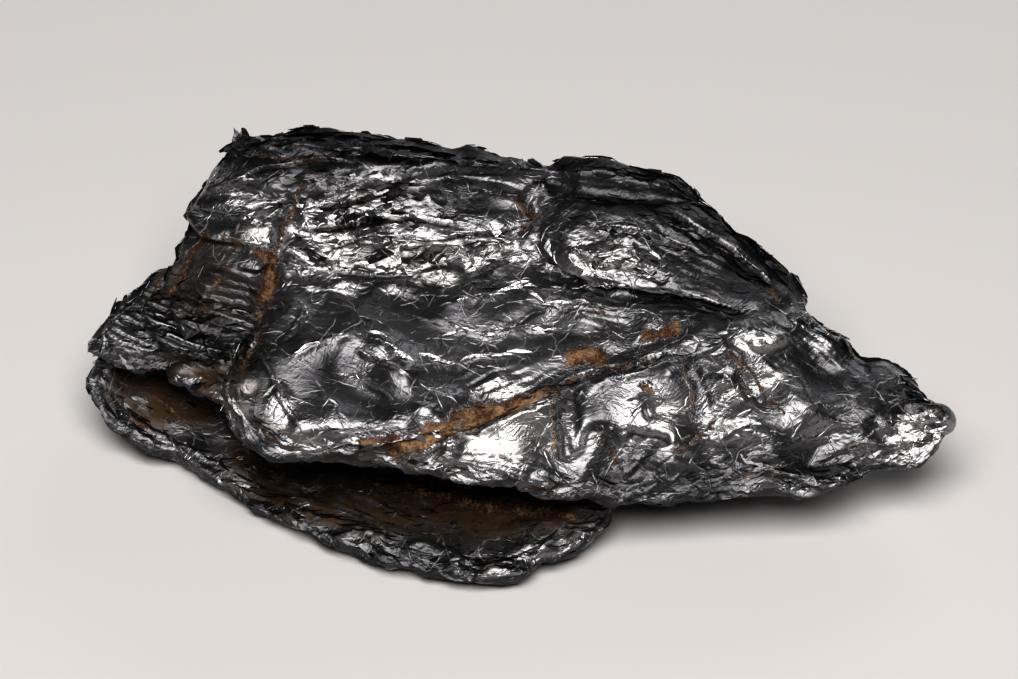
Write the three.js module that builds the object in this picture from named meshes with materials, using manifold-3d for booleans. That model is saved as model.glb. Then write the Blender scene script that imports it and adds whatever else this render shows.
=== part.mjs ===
// A loose hand specimen of molybdenite, in millimetres, +Z up, lying on its lowest cleavage sheet.
// It is one solid: bent, crumpled books of cleavage sheets that grew into each other.
// X runs along the specimen towards its pointed lobe, Y runs back from the open cleft.
import * as THREE from "three";
import { ImprovedNoise } from "three/addons/math/ImprovedNoise.js";
import { mergeVertices } from "three/addons/utils/BufferGeometryUtils.js";
import Module from "manifold-3d";

// Driving dimensions.
const CREASE_SPACING = 8; // distance between the main creases of the crumpled sheets
const CREASE_DEPTH = 0.65; // how far a crease stands off the smooth sheet
const RIM_TEAR = 1.1; // how far a torn rim wanders off its outline
const TEAR_SPACING = 2.5; // distance over which a torn rim swings in and out
const LAYER_STEP = 2.1; // height of the steps where whole books of sheets end
const LAYER_STEP_SHARE = 0.4; // 0 leaves slopes smooth, 1 makes them flat treads and risers
const RIM_UPRIGHT = 0.35; // share of a book's thickness that is upright at its rim
const FACE_GRID = 1.9; // spacing of the points that shape a crumpled face
const SHEET_GRID = 3.7; // the same on the thin sheets, which are nearly flat

const wasm = await Module();
wasm.setup();

const noise = new ImprovedNoise();

// A value of about -1 to 1 with sharp ridges where the facets of a crumpled sheet meet.
function crumple(x, y, z) {
  const coarse = 1 / CREASE_SPACING;
  const fine = 2.3 * coarse;
  const bend = 0.8 * noise.noise(x * coarse * 0.5 + 7, y * coarse * 0.5, z * coarse * 0.5);
  const mainCreases = Math.abs(noise.noise(x * coarse + bend, y * coarse - bend, z * coarse));
  const sideCreases = Math.abs(noise.noise(x * fine - bend, y * fine, z * fine + bend));
  return 1 - 2.4 * mainCreases - 1.6 * sideCreases;
}

// The height of a cleavage face at x, y: a smooth blend of spot heights [x, y, z].
function faceThrough(spots) {
  return (x, y) => {
    let total = 0;
    let weights = 0;
    for (const [sx, sy, sz] of spots) {
      const weight = 1 / ((x - sx) ** 2 + (y - sy) ** 2 + 1) ** 2;
      total += weight * sz;
      weights += weight;
    }
    return total / weights;
  };
}

// The distance from x, y to a line of points.
function distanceToLine(points, x, y) {
  return points.slice(1).reduce((nearest, [bx, by], i) => {
    const [ax, ay] = points[i];
    const run = ((x - ax) * (bx - ax) + (y - ay) * (by - ay)) / ((bx - ax) ** 2 + (by - ay) ** 2);
    const t = THREE.MathUtils.clamp(run, 0, 1);
    return Math.min(nearest, Math.hypot(x - ax - t * (bx - ax), y - ay - t * (by - ay)));
  }, Infinity);
}

// How much the folds raise a face at x, y: each is a ridge along a line, or a groove if lift is negative.
function foldHeight(folds, x, y) {
  return folds.reduce((sum, { along, lift, width }) => {
    const distance = distanceToLine(along, x, y);
    return sum + lift * Math.exp(-((distance / width) ** 2));
  }, 0);
}

// Turns a smooth slope into treads and risers, as where the sheets of a book end one above another.
function stepped(x, y, z) {
  const drift = 1.5 * noise.noise(x * 0.07, y * 0.07, 5);
  const level = (z + drift) / LAYER_STEP;
  const part = level - Math.floor(level);
  const riser = part < 0.5 ? 4 * part ** 3 : 1 - 4 * (1 - part) ** 3;
  const tread = (Math.floor(level) + riser) * LAYER_STEP - drift;
  return z + (tread - z) * LAYER_STEP_SHARE;
}

// One book of sheets: a gridded block rounded to its outline and set between its two faces.
// The outline starts at the book's +X end. edge is 2 for a round rim and 6 for a square one.
function book({
  outline, centre, top, bottom, folds = [], edge = 3, crease = CREASE_DEPTH, grid = FACE_GRID,
}) {
  const corners = outline.map(([x, y]) => new THREE.Vector3(x, y, 0));
  if (THREE.ShapeUtils.isClockWise(corners)) {
    corners.push(corners.shift());
    corners.reverse();
  }
  const rim = new THREE.CatmullRomCurve3(corners, true, "centripetal");
  const span = new THREE.Box3().setFromPoints(corners).getSize(new THREE.Vector3());
  const block = new THREE.BoxGeometry(2, 2, 2, Math.round(span.x / grid), Math.round(span.y / grid), 2);
  const upper = faceThrough(top);
  const lower = faceThrough(bottom);
  const position = block.getAttribute("position");
  for (let i = 0; i < position.count; i++) {
    const [a, b, level] = [position.getX(i), position.getY(i), position.getZ(i)];
    const across = a * Math.sqrt(1 - (b * b) / 2);
    const back = b * Math.sqrt(1 - (a * a) / 2);
    const reach = Math.min(1, Math.hypot(across, back));
    const share = (Math.atan2(back, across) / (2 * Math.PI) + 1) % 1;
    const rimPoint = rim.getPointAt(share);
    const x = centre[0] + (rimPoint.x - centre[0]) * reach;
    const y = centre[1] + (rimPoint.y - centre[1]) * reach;
    const side = level * (RIM_UPRIGHT + (1 - RIM_UPRIGHT) * (1 - reach ** edge) ** (1 / edge));
    const [low, high] = [lower(x, y), stepped(x, y, upper(x, y)) + foldHeight(folds, x, y)];
    const z = low + ((high - low) * (side + 1)) / 2;
    const torn = RIM_TEAR * reach ** 3;
    const [u, v, w] = [x / TEAR_SPACING, y / TEAR_SPACING, (2 * z) / TEAR_SPACING];
    position.setXYZ(
      i,
      x + torn * noise.noise(u, v, w + 31),
      y + torn * noise.noise(u, v + 57, w),
      z + crease * side * crumple(x, y, z),
    );
  }
  return solidOf(block);
}

// A pile of thin sheets, each with its torn lip [x, y, z] set back from the lip of the sheet under it.
// The heel closes each outline, inside the specimen or along its back, from the +X end onwards.
function sheets({ lips, heel, centre, thickness }) {
  return lips.map((lip) =>
    book({
      centre,
      outline: [...heel, ...lip],
      top: lip,
      bottom: lip.map(([x, y, z]) => [x, y, z - thickness]),
      edge: 5,
      crease: 0.5,
      grid: SHEET_GRID,
    }),
  );
}

// A closed three.js geometry as a solid that can be joined and cut.
function solidOf(geometry) {
  const bare = geometry.clone();
  bare.deleteAttribute("normal");
  bare.deleteAttribute("uv");
  const merged = mergeVertices(bare, 1e-3);
  return new wasm.Manifold(
    new wasm.Mesh({
      numProp: 3,
      vertProperties: new Float32Array(merged.getAttribute("position").array),
      triVerts: new Uint32Array(merged.index.array),
    }),
  );
}

function geometryOf(solid) {
  const mesh = solid.getMesh();
  const geometry = new THREE.BufferGeometry();
  geometry.setAttribute("position", new THREE.BufferAttribute(new Float32Array(mesh.vertProperties), 3));
  geometry.setIndex(new THREE.BufferAttribute(new Uint32Array(mesh.triVerts), 1));
  return geometry;
}

// The lowest sheet, bowed like a boat, with its torn rim curled up in front of the cleft.
const lowerSheet = book({
  centre: [-14, -3],
  outline: [
    [15, -2], [15, 6], [8, 14], [-10, 18], [-28, 15], [-40, 8], [-43.4, 2], [-43.3, -1.4], [-41.6, -2.8],
    [-38.4, -4.8], [-34.7, -6.2], [-30.7, -9.4], [-27.4, -11.9], [-21.9, -16], [-18.3, -18.2], [-14.6, -20.3],
    [-9.9, -22.2], [-4, -23.2], [0, -22.8], [1.8, -20.8], [4.6, -20], [7.4, -18.2], [8.6, -16], [12, -9],
  ],
  top: [
    // curled rim, from the left end round the front
    [-42.4, 0.4, 8.8], [-40, -2.4, 5.2], [-36, -5, 3.2], [-30, -8, 3.2], [-22, -15, 3.2], [-12, -20.5, 3.4],
    [-3, -22, 3.4],
    [5, -19.2, 3.6], [8, -16.4, 4.6],
    // floor of the cleft
    [-39.5, 0, 6.4], [-37, -1, 5.2], [-34.6, -2.4, 4], [-32, -3, 3], [-22, -10, 1.4], [-10, -15, 1.4], [0, -16, 1.6], [-20, 0, 2.4], [0, 0, 2.4], [12, 0, 3],
  ],
  bottom: [
    [-43, 0, 5], [-41, -3, 2.6], [-38, -5, 1.2], [-34, -6.6, 0.6], [-30, -9.5, 0.6], [-22, -16.5, 0.4], [-12, -21, 0.1], [-3, -23, 0.1],
    [5, -19.5, 0.4], [9, -16.5, 1.4], [-22, -8, -1], [-8, -12, -1], [-20, 4, -1], [0, 0, -1], [12, 0, -1],
  ],
  edge: 3.5,
  crease: 0.5,
  grid: 2,
});

// The buried middle of the stack, which the cleft runs back to.
const core = book({
  centre: [-8, 6],
  outline: [
    [26, 2], [24, 10], [14, 15], [0, 17.5], [-20, 18.5], [-33, 16], [-39, 9], [-37, 5.4], [-31, 3], [-26, -1.5],
    [-20, -5], [-6, -7.5], [8, -9.5], [20, -8],
  ],
  top: [[-34, 6, 9], [-10, 6, 12], [10, 6, 12], [24, 4, 10]],
  bottom: [[-30, 6, -1], [-8, 6, -1.5], [12, 4, -1.5], [24, 4, 0.5]],
  edge: 4,
  grid: 3,
});

// The left stack: sheets whose ends step down to the torn left end.
const leftStack = sheets({
  lips: [
    [[-37, 11.6, 12.6], [-40.6, 7.4, 12], [-42.8, 3, 11], [-43, 0.1, 10.4], [-40.9, -0.4, 10.2],
      [-37.3, -1.2, 9.8], [-35.9, -0.5, 10], [-34.4, -1.2, 9.8], [-32.6, -3.2, 9.4], [-29, -5.8, 9.2]],
    [[-35.8, 10.6, 14.2], [-39.4, 5.8, 13.2], [-41.4, 2, 12], [-41, 0.8, 11.6], [-38, -0.3, 11.2], [-35, 0, 11.2],
      [-31.4, -2.4, 10.8], [-28, -5, 10.8]],
    [[-34.6, 9.6, 15.6], [-37.8, 4, 14.4], [-38.8, 1.4, 13.4], [-36, 0, 12.8], [-31.9, -1.6, 12.4],
      [-27.6, -4.4, 12.2]],
    [[-32.8, 8.6, 16.2], [-35.3, 2.4, 15.2], [-34.4, 0.8, 14.6], [-30.9, -0.6, 14], [-27, -3.2, 13.6]],
    [[-31.7, 7.9, 17.2], [-32.8, 2.8, 16.4], [-30.4, 0.9, 15.6], [-26.6, -1.7, 15.2]],
  ],
  heel: [[-22, 0], [-23, 6], [-28, 12]],
  centre: [-30, 3],
  thickness: 1.8,
});

// The upper mass: the round nose over the cleft, the basin behind it and the pointed lobe.
const upperMass = book({
  centre: [0, -1],
  outline: [
    // the tip of the lobe, its back, and the back of the specimen
    [43, -8.2], [41, -5.4], [38, -2], [34, 1.8], [30, 5], [26, 8.6], [20, 13], [13, 16], [4, 17.4],
    [-6, 18], [-16, 19.6], [-24, 21], [-29.6, 20.4], [-33.6, 16.4], [-34.8, 12],
    // the left end, the nose, and the lip over the cleft
    [-32, 8], [-27.6, 4], [-27.6, -1], [-28.4, -6], [-29, -9.6], [-28, -12.6], [-25, -15], [-21, -16],
    [-16.7, -15.8], [-12, -16.2], [-7, -17], [-2, -17.6], [3, -18],
    // the front of the lobe
    [9, -17.8], [14, -17], [20, -16], [26, -16.2], [30, -15.8], [33, -14.4], [35.4, -12.6], [38, -13],
    [40.4, -11.8], [41.9, -10],
  ],
  top: [
    // nose, its rim and the hollow inside it
    [-26, -9, 15.6], [-24.4, -12.8, 14.8], [-19.4, -13.4, 15], [-13.5, -14.2, 15], [-16.5, -10, 14.6],
    [-21.5, -6.7, 16.8], [-16.7, -3.6, 17], [-11.7, -9.2, 16.4], [-9.6, -13, 15], [-25, -1, 17.4],
    // front face and seam between the nose and the lobe
    [-8.7, -15.6, 12.6], [-4, -16, 11.6], [3, -16.2, 11], [-2, -13.4, 14], [4, -11.4, 15], [13, -7.6, 16],
    // basin
    [-8, -6, 15], [-3, -7.4, 14.6], [4, -5, 14.8], [9, -2.6, 15.3], [-9, 1.4, 16.4], [0, 3, 16.4],
    [-18, 1.5, 17.2],
    // the ground that the cliff and the ledge stand on
    [-31, 11, 16.6], [-20, 9, 17.4], [-6, 9, 17.4], [-26, 17, 18], [-20, 17, 19], [-10, 15, 19],
    [2, 14, 20], [4, 16.4, 20.6], [10, 12, 18.6], [18, 10, 17.4], [25, 6, 14.8],
    // shelf under the ledge
    [8, 1, 16.4], [14, -0.8, 16.4], [19, -2, 16.4],
    // lobe: ridge, face, rim and back
    [22, -2.8, 16.2], [28, 0.4, 15.6], [31, -0.6, 14.8], [35, -2.2, 13], [38.3, -4.4, 11.6], [40.6, -7, 10.2],
    [43, -8, 9.4], [28, -9.6, 12.8], [22, -12, 12.4], [14, -13, 12.2], [7, -13.6, 12.2], [34, -8.8, 12],
    [10, -16.6, 8], [20, -15, 8], [30, -14.4, 8], [38, -11.6, 8], [31, 4, 10], [36, 0, 9.4],
  ],
  folds: [
    // rim round the hollow of the nose, and the hollow
    { along: [[-25, -6], [-21.5, -6.2], [-16.7, -3.4], [-12.4, -7.6], [-10.4, -12]], lift: 0.7, width: 1.6 },
    { along: [[-16.5, -10.4], [-14, -10.8]], lift: -1, width: 2.6 },
    // rusty seam that climbs from the front face into the ridge of the lobe, and the dip behind it
    { along: [[-12, -15], [-3, -14], [4, -11], [12.7, -7.6], [21.7, -3], [28, 0.6]], lift: 0.9, width: 1.7 },
    { along: [[-4, -11.6], [4, -8.6], [12, -5.2], [20, -1.6]], lift: -0.7, width: 1.8 },
    // upright step between the front face and the lobe
    { along: [[4.4, -11.6], [5, -14], [5.4, -17]], lift: -1.2, width: 1.3 },
    { along: [[1.4, -13], [1.8, -16]], lift: 0.7, width: 1.8 },
    // folds down the face of the lobe
    { along: [[24.6, -2.4], [27, -6], [29, -9]], lift: 0.6, width: 1.5 },
    { along: [[27.4, -1], [30.4, -5], [33, -8.6]], lift: -0.7, width: 1.4 },
    { along: [[34.4, -6], [38, -8.6], [41, -9]], lift: 0.6, width: 1.6 },
  ],
  bottom: [
    [-27, -12, 8.8], [-22, -14, 8.4], [-12, -14, 7.8], [-2, -15.5, 7], [5, -16.6, 5.8], [-20, -7, 8.4],
    [0, -9, 7], [9, -17, 5], [20, -15, 4.6], [30, -14, 4.6], [38, -11.6, 5.2], [43, -8.4, 7.4], [36, -5, 4.6],
    [28, -7, 2.6], [20, -9, 1], [14, -10, 0.4], [20, 3, 0], [-20, 12, 1], [0, 12, 1], [-32, 11, 3], [28, 3, 2],
  ],
});

// The cliff behind the basin: five sheets that end one above another.
const cliff = sheets({
  lips: [
    [[-33.9, 10, 17], [-32.2, 7.6, 17.6], [-27, 5.2, 18.2], [-22, 5.4, 18.6], [-10.8, 5.2, 18.4],
      [-4, 6.6, 18.4], [2.5, 9.8, 18.2]],
    [[-34, 12, 18.6], [-30.7, 8.6, 19.2], [-27.1, 7, 19.6], [-22.1, 8.6, 20], [-10.8, 7.6, 19.8],
      [-4, 8.4, 19.8], [1.6, 11, 19.6]],
    [[-34, 14, 19.8], [-31.8, 10.9, 20.6], [-27.1, 9.5, 21.2], [-22.1, 10.4, 21.4], [-16, 11, 21.4],
      [-8, 10.6, 21.2], [1.6, 12.6, 20.6]],
    [[-33, 16, 21.2], [-31.3, 12.6, 21.8], [-26.7, 12.2, 22.6], [-22.1, 11.4, 23], [-12.1, 14.2, 22.6],
      [-5.1, 15.4, 22.6], [1, 15.4, 21.8]],
    [[-30.6, 18, 22.2], [-30, 16, 22.8], [-26.9, 15.6, 23.8], [-22.3, 16, 24.4], [-16, 16.6, 24.4],
      [-8, 16, 24], [-0.6, 15.6, 23]],
  ],
  heel: [[4.6, 14.4], [2.4, 17.6], [-6, 18.6], [-12, 19.4], [-18, 20.6], [-24, 21.8], [-28, 22.2], [-30.6, 20]],
  centre: [-15, 14],
  thickness: 3,
});

// The upper right ledge: a thick book whose rounded lip overhangs the basin, and the crest on its back.
const ledge = book({
  centre: [14, 7],
  outline: [
    [28.8, 5.2], [26.6, 8], [22.6, 10], [19, 13], [13, 14.6], [6, 16], [3, 12], [2.6, 8.6], [3.4, 5],
    [8, 2.6], [13, 1.5], [18, 0.3], [22, -0.4], [27.4, 1],
  ],
  top: [
    [28, 4.6, 15.4], [26, 6, 17], [22, 8, 19.2], [18, 10, 21], [12, 9, 21], [6, 10, 21.4],
    [5, 6, 19.8], [9, 3.8, 19.2], [13, 3.2, 18.8], [18, 2.6, 18.2], [23, 1.6, 17],
  ],
  bottom: [[26, 4, 11], [12, 3, 15.8], [5, 6, 16.6], [15, 11, 10]],
});
const ledgeCrest = book({
  centre: [10, 14],
  outline: [
    [18.6, 13.2], [16, 15], [11, 16.4], [5, 17.8], [1.6, 16.4], [4, 13.6], [11, 12], [16.6, 11.4],
  ],
  top: [[18, 13, 21.6], [13, 13.4, 22.2], [7, 15.6, 23.2], [3, 16, 22.6]],
  bottom: [[18, 12, 16], [8, 13, 16], [3, 14, 16]],
  edge: 4,
  crease: 0.4,
});

const books = [lowerSheet, core, ...leftStack, upperMass, ...cliff, ledge, ledgeCrest];
const joined = books.reduce((whole, piece) => whole.add(piece));

// Everything under the resting plane is cut away, which leaves one flat cleavage face to lie on.
const belowFloor = new THREE.BoxGeometry(120, 80, 10).translate(0, 0, -5);
const cut = joined.subtract(solidOf(belowFloor));

// Only the outer skin is kept, which fills the small voids between the books.
const [skin] = cut.decompose().sort((a, b) => b.volume() - a.volume());
const geometry = geometryOf(skin);

// The origin is under the middle of the specimen, on its resting plane.
geometry.computeBoundingBox();
const middle = geometry.boundingBox.getCenter(new THREE.Vector3());
geometry.translate(-middle.x, -middle.y, -geometry.boundingBox.min.z);

const molybdenite = new THREE.Mesh(
  geometry,
  new THREE.MeshStandardMaterial({ color: 0x6f7176, roughness: 0.32, metalness: 1 }),
);
molybdenite.name = "molybdenite";

const specimen = new THREE.Group();
specimen.add(molybdenite);

export default specimen;
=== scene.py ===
# %% [markdown]
# # A specimen of molybdenite
# Molybdenite grows as a book of soft metallic leaves. This one was bent and squeezed while it
# was still in the rock: a thick upper book is crumpled over a thin lower sheet, and iron-stained
# water has left rust in its seams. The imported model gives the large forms. Everything finer is
# modelled here in three pieces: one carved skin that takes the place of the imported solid, and the
# torn slivers and flat leaves that are set into it. Only the finest marks are left to the material.

import math
import random

import bmesh
import bpy
import numpy as np
from mathutils import Matrix, Vector, noise
from mathutils.bvhtree import BVHTree
from mathutils.kdtree import KDTree


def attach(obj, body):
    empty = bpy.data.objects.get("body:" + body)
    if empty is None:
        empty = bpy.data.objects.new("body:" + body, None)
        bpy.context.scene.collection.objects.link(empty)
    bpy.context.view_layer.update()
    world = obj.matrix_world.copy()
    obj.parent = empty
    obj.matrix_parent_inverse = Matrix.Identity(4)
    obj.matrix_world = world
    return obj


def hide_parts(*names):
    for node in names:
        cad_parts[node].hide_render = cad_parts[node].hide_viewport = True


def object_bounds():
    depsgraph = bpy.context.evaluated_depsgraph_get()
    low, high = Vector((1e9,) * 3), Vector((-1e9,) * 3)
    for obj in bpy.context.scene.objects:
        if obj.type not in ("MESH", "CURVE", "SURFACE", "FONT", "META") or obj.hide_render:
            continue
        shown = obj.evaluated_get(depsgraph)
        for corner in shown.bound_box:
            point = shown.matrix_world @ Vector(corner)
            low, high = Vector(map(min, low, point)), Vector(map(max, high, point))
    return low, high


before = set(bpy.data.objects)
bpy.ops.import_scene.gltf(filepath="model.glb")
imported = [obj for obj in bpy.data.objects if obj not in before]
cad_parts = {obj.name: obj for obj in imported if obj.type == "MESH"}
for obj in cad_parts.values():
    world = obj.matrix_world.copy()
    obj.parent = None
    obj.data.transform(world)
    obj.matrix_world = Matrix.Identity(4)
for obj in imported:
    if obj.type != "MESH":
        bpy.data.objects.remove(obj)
cad_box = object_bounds()

MM = 0.001
box_low = np.array(cad_box[0]) / MM
box_high = np.array(cad_box[1]) / MM
box_middle = (box_low + box_high) / 2
print("packed model, mm:", np.round(box_high - box_low, 2))

# %% [markdown]
# ## The camera
# A long lens keeps the form free of strong perspective, as in a mineral catalogue. The camera comes
# first because the relief on the front of the specimen is laid out in its frame: a place there is
# given in mm across and down from the frame's top left corner, at the distance of the specimen.

# %% Camera
FRAME_WIDTH = 101.8
FRAME_HEIGHT = 67.9
LENS = 135.0
SENSOR = 36.0
ELEVATION = math.radians(40)
AIM_SHIFT = (-0.51, 0.404, -0.134)

distance = LENS * FRAME_WIDTH / SENSOR
aim = box_middle + np.array(AIM_SHIFT)
towards_camera = np.array((0, -math.cos(ELEVATION), math.sin(ELEVATION)))
frame_up = np.array((0, math.sin(ELEVATION), math.cos(ELEVATION)))
eye = aim + towards_camera * distance

camera_data = bpy.data.cameras.new("specimen_camera")
camera_data.lens = LENS
camera_data.sensor_width = SENSOR
camera_data.clip_start = 0.01
camera = bpy.data.objects.new("specimen_camera", camera_data)
camera.location = Vector(eye * MM)
camera.rotation_euler = (math.pi / 2 - ELEVATION, 0, 0)
bpy.context.scene.collection.objects.link(camera)
bpy.context.scene.camera = camera


def frame_places(points):
    """Where points in mm show in the camera's frame, in mm across and down."""
    ray = points - eye
    depth = -(ray @ towards_camera)
    across = ray[:, 0] * distance / depth
    up = (ray @ frame_up) * distance / depth
    return np.stack((FRAME_WIDTH / 2 + across, FRAME_HEIGHT / 2 - up), axis=1)


print("camera at, mm:", np.round(eye, 1))

# %% [markdown]
# ## An even skin to carve
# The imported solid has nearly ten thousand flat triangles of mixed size. Subdividing would keep their
# edges and their long thin shapes. A copy is merged and remeshed instead, in voxels a fifth of a
# millimetre wide, which gives an even skin that fine relief can be pushed into. Smoothing then takes
# off the steps of the voxels and the edges of the flat triangles.

# %% Remesh a copy of the solid
VOXEL = 0.21
SMOOTHING = 20

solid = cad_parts["molybdenite"]


def evaluated_mesh(piece):
    """The piece's mesh with its modifiers applied."""
    depsgraph = bpy.context.evaluated_depsgraph_get()
    return bpy.data.meshes.new_from_object(piece.evaluated_get(depsgraph))


def merged_copy(node, name):
    """A new object whose mesh is the node's, with the corners of its triangles merged."""
    form = bmesh.new()
    form.from_mesh(node.data)
    bmesh.ops.remove_doubles(form, verts=form.verts, dist=1e-7)
    mesh = bpy.data.meshes.new(name)
    form.to_mesh(mesh)
    form.free()
    piece = bpy.data.objects.new(name, mesh)
    bpy.context.scene.collection.objects.link(piece)
    return piece


def settle(piece):
    """Apply the piece's modifiers to its mesh."""
    mesh = evaluated_mesh(piece)
    piece.modifiers.clear()
    piece.data = mesh


skin = merged_copy(solid, "molybdenite_skin")
remesh = skin.modifiers.new("even_grid", "REMESH")
remesh.mode = "VOXEL"
remesh.voxel_size = VOXEL * MM
soften = skin.modifiers.new("soften", "SMOOTH")
soften.factor = 0.5
soften.iterations = SMOOTHING
settle(skin)
print("even skin:", len(skin.data.vertices), "vertices")

# %% [markdown]
# ## Working on the skin as numbers
# Sculpting in code means moving vertices along the way they face. One by one that is slow, so these
# helpers read all places and outward directions at once, in mm, and put moved places back. The
# directions are blurred a little, so that neighbours don't cross when they are pushed out.

# %% Read and write the skin
def skin_places():
    """Every vertex of the skin, in mm."""
    values = np.empty(len(skin.data.vertices) * 3)
    skin.data.vertices.foreach_get("co", values)
    return values.reshape(-1, 3) / MM


def skin_outward():
    """The way each vertex of the skin faces."""
    values = np.empty(len(skin.data.vertices) * 3)
    skin.data.vertex_normals.foreach_get("vector", values)
    return values.reshape(-1, 3)


def place_skin(places):
    """Move the skin's vertices to these places, in mm."""
    skin.data.vertices.foreach_set("co", (places * MM).ravel())
    skin.data.update()


edge_ends = np.empty(len(skin.data.edges) * 2, dtype=np.int64)
skin.data.edges.foreach_get("vertices", edge_ends)
edge_ends = edge_ends.reshape(-1, 2)
neighbours = np.bincount(edge_ends.ravel(), minlength=len(skin.data.vertices))


def blurred(values, rounds):
    """Values spread over the skin: each round mixes a vertex half and half with its neighbours."""
    for _ in range(rounds):
        spread = np.bincount(edge_ends[:, 0], values[edge_ends[:, 1]], len(values))
        spread += np.bincount(edge_ends[:, 1], values[edge_ends[:, 0]], len(values))
        values = 0.5 * values + 0.5 * spread / np.maximum(neighbours, 1)
    return values


FACING_BLUR = 6

base = skin_places()
facing = np.stack([blurred(axis, FACING_BLUR) for axis in skin_outward().T], axis=1)
facing /= np.linalg.norm(facing, axis=1)[:, None]
places_in_frame = frame_places(base)
print("skin area in view, mm:", np.round(np.ptp(places_in_frame, axis=0), 1))

# %% [markdown]
# A fold that is laid out in the camera's frame belongs on what the camera sees, and not on the
# back of the specimen behind it. A ray from each vertex to the camera tells which those are.

# %% Find what the camera sees
RAY_START = 0.45
TURNED_AWAY = -0.05
EDGE_BLUR = 4

solid_tree = BVHTree.FromObject(solid, bpy.context.evaluated_depsgraph_get())


def open_to_camera(place, direction):
    """1 where nothing of the solid stands between a place and the camera."""
    start = Vector((place + direction * RAY_START) * MM)
    towards = Vector(eye * MM) - start
    hit = solid_tree.ray_cast(start, towards.normalized())
    return 1.0 if hit[0] is None else 0.0


lit = np.zeros(len(base))
for index in np.flatnonzero(facing @ towards_camera > TURNED_AWAY):
    lit[index] = open_to_camera(base[index], facing[index])
in_view = blurred(lit, EDGE_BLUR)
print("in view:", int(lit.sum()), "vertices")

# %% [markdown]
# ## Kinds of relief
# The leaves tear, curl and fold in a few ways, and each is one short function of the distance from
# a line: a lip is the torn edge of a leaf, which stands up a little and drops to the leaf below; a
# crease is a sharp raised fold; a groove is a seam. Functions like these give the same fold at any
# length and bend, which a brush stroke or an image doesn't.

# %% Relief along lines
def along_line(places, line):
    """Signed distance from a line, positive to its right, and how far along it from 0 to 1."""
    line = np.array(line, dtype=float)
    steps = np.linalg.norm(np.diff(line, axis=0), axis=1)
    reached = np.concatenate(([0.0], np.cumsum(steps)))
    nearest = np.full(len(places), np.inf)
    signed = np.full(len(places), np.inf)
    share = np.zeros(len(places))
    for start, end, length, before in zip(line[:-1], line[1:], steps, reached):
        run = (end - start) / length
        offset = places - start
        ahead = np.clip(offset @ run, 0, length)
        gap = offset - ahead[:, None] * run
        away = np.linalg.norm(gap, axis=1)
        closer = away < nearest
        side = run[0] * offset[:, 1] - run[1] * offset[:, 0]
        nearest = np.where(closer, away, nearest)
        signed = np.where(closer, np.copysign(away, side), signed)
        share = np.where(closer, (before + ahead) / reached[-1], share)
    return signed, share


TAPER = 0.15


def tapered(share):
    """1 along a line and falling to 0 at both of its ends."""
    return np.clip(np.minimum(share, 1 - share) / TAPER, 0, 1)


def lip(distance_off, width):
    """A torn edge: curled up on the near side, dropping on the other."""
    above = 0.3 * np.exp(np.minimum(distance_off, 0) / width)
    below = -np.exp(-np.maximum(distance_off, 0) / width)
    return np.where(distance_off < 0, above, below)


def crease(distance_off, width):
    """A sharp raised fold."""
    return np.maximum(0, 1 - np.abs(distance_off) / width) ** 1.4


def band(distance_off, width):
    """1 on a line and falling off softly to both sides."""
    return np.exp(-((distance_off / width) ** 2))


def groove(distance_off, width):
    """A seam pressed in."""
    return -band(distance_off, width)


# %% Wobbly lines
REACH = 5
LINE_WOBBLE = 0.35


def lumps(points, size, seed):
    """Soft noise from about -1 to 1, in lumps of a size in mm."""
    shifted = points / size + np.array((7.31, 3.17, 5.53)) * seed
    return np.array([noise.noise(place) for place in shifted.tolist()])


wobble = np.stack(
    (
        lumps(base, 2.4, 1) + 0.15 * lumps(base, 0.9, 2),
        lumps(base, 2.4, 3) + 0.15 * lumps(base, 0.9, 4),
    ),
    axis=1,
)
wobbly_places = places_in_frame + LINE_WOBBLE * wobble


def lined_relief(profile, strokes):
    """The height in mm that strokes of one kind add, each (height, width, line)."""
    height = np.zeros(len(base))
    for size, width, line in strokes:
        low = np.min(line, axis=0) - REACH * width
        high = np.max(line, axis=0) + REACH * width
        near = np.flatnonzero(np.all((wobbly_places > low) & (wobbly_places < high), axis=1))
        signed, share = along_line(wobbly_places[near], line)
        height[near] += size * profile(signed, width) * tapered(share)
    return height * in_view


print("lines wobble, mm:", round(LINE_WOBBLE * np.abs(wobble).max(), 2))

# %% [markdown]
# ## Folds and tears of the upper book
# Every tear and fold on the front of the real specimen lies at its own place. They could be sculpted
# by hand, or left to noise, which never puts a fold where the real one is. Here each is a line of a few
# points in the camera's frame, so one table holds all folds of a kind, and one number changes a fold.

# %% Torn edges
# Each line of relief is (height in mm, width in mm, places in the frame).
CLIFF_LIPS = (
    (0.25, 1, ((22.5, 18.6), (25.6, 17), (29.1, 16.4), (31.4, 15.7), (33.6, 16), (36, 16.6))),
    (0.8, 0.7, ((30, 21), (33, 20.4), (35.4, 19.9), (38.3, 19.2), (43, 18.9))),
    (0.7, 0.6, ((29.6, 23), (34.2, 22.8), (36.6, 21.9), (40.9, 21.6), (43.8, 22.3), (47, 22.6))),
    (0.6, 0.5, (
        (32, 25), (34.8, 24.1), (37.2, 23.4), (41.8, 23.9), (44.4, 23.7), (50.3, 23), (53.8, 22.4),
    )),
    (0.3, 0.9, (
        (27.4, 26.6), (30.2, 27.3), (33.4, 26.8), (36.6, 27.7), (40, 27), (43, 27.7), (46, 26.9),
    )),
    (0.6, 0.7, ((24.5, 20.9), (27, 20.2), (29.5, 20))),
)
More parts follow.
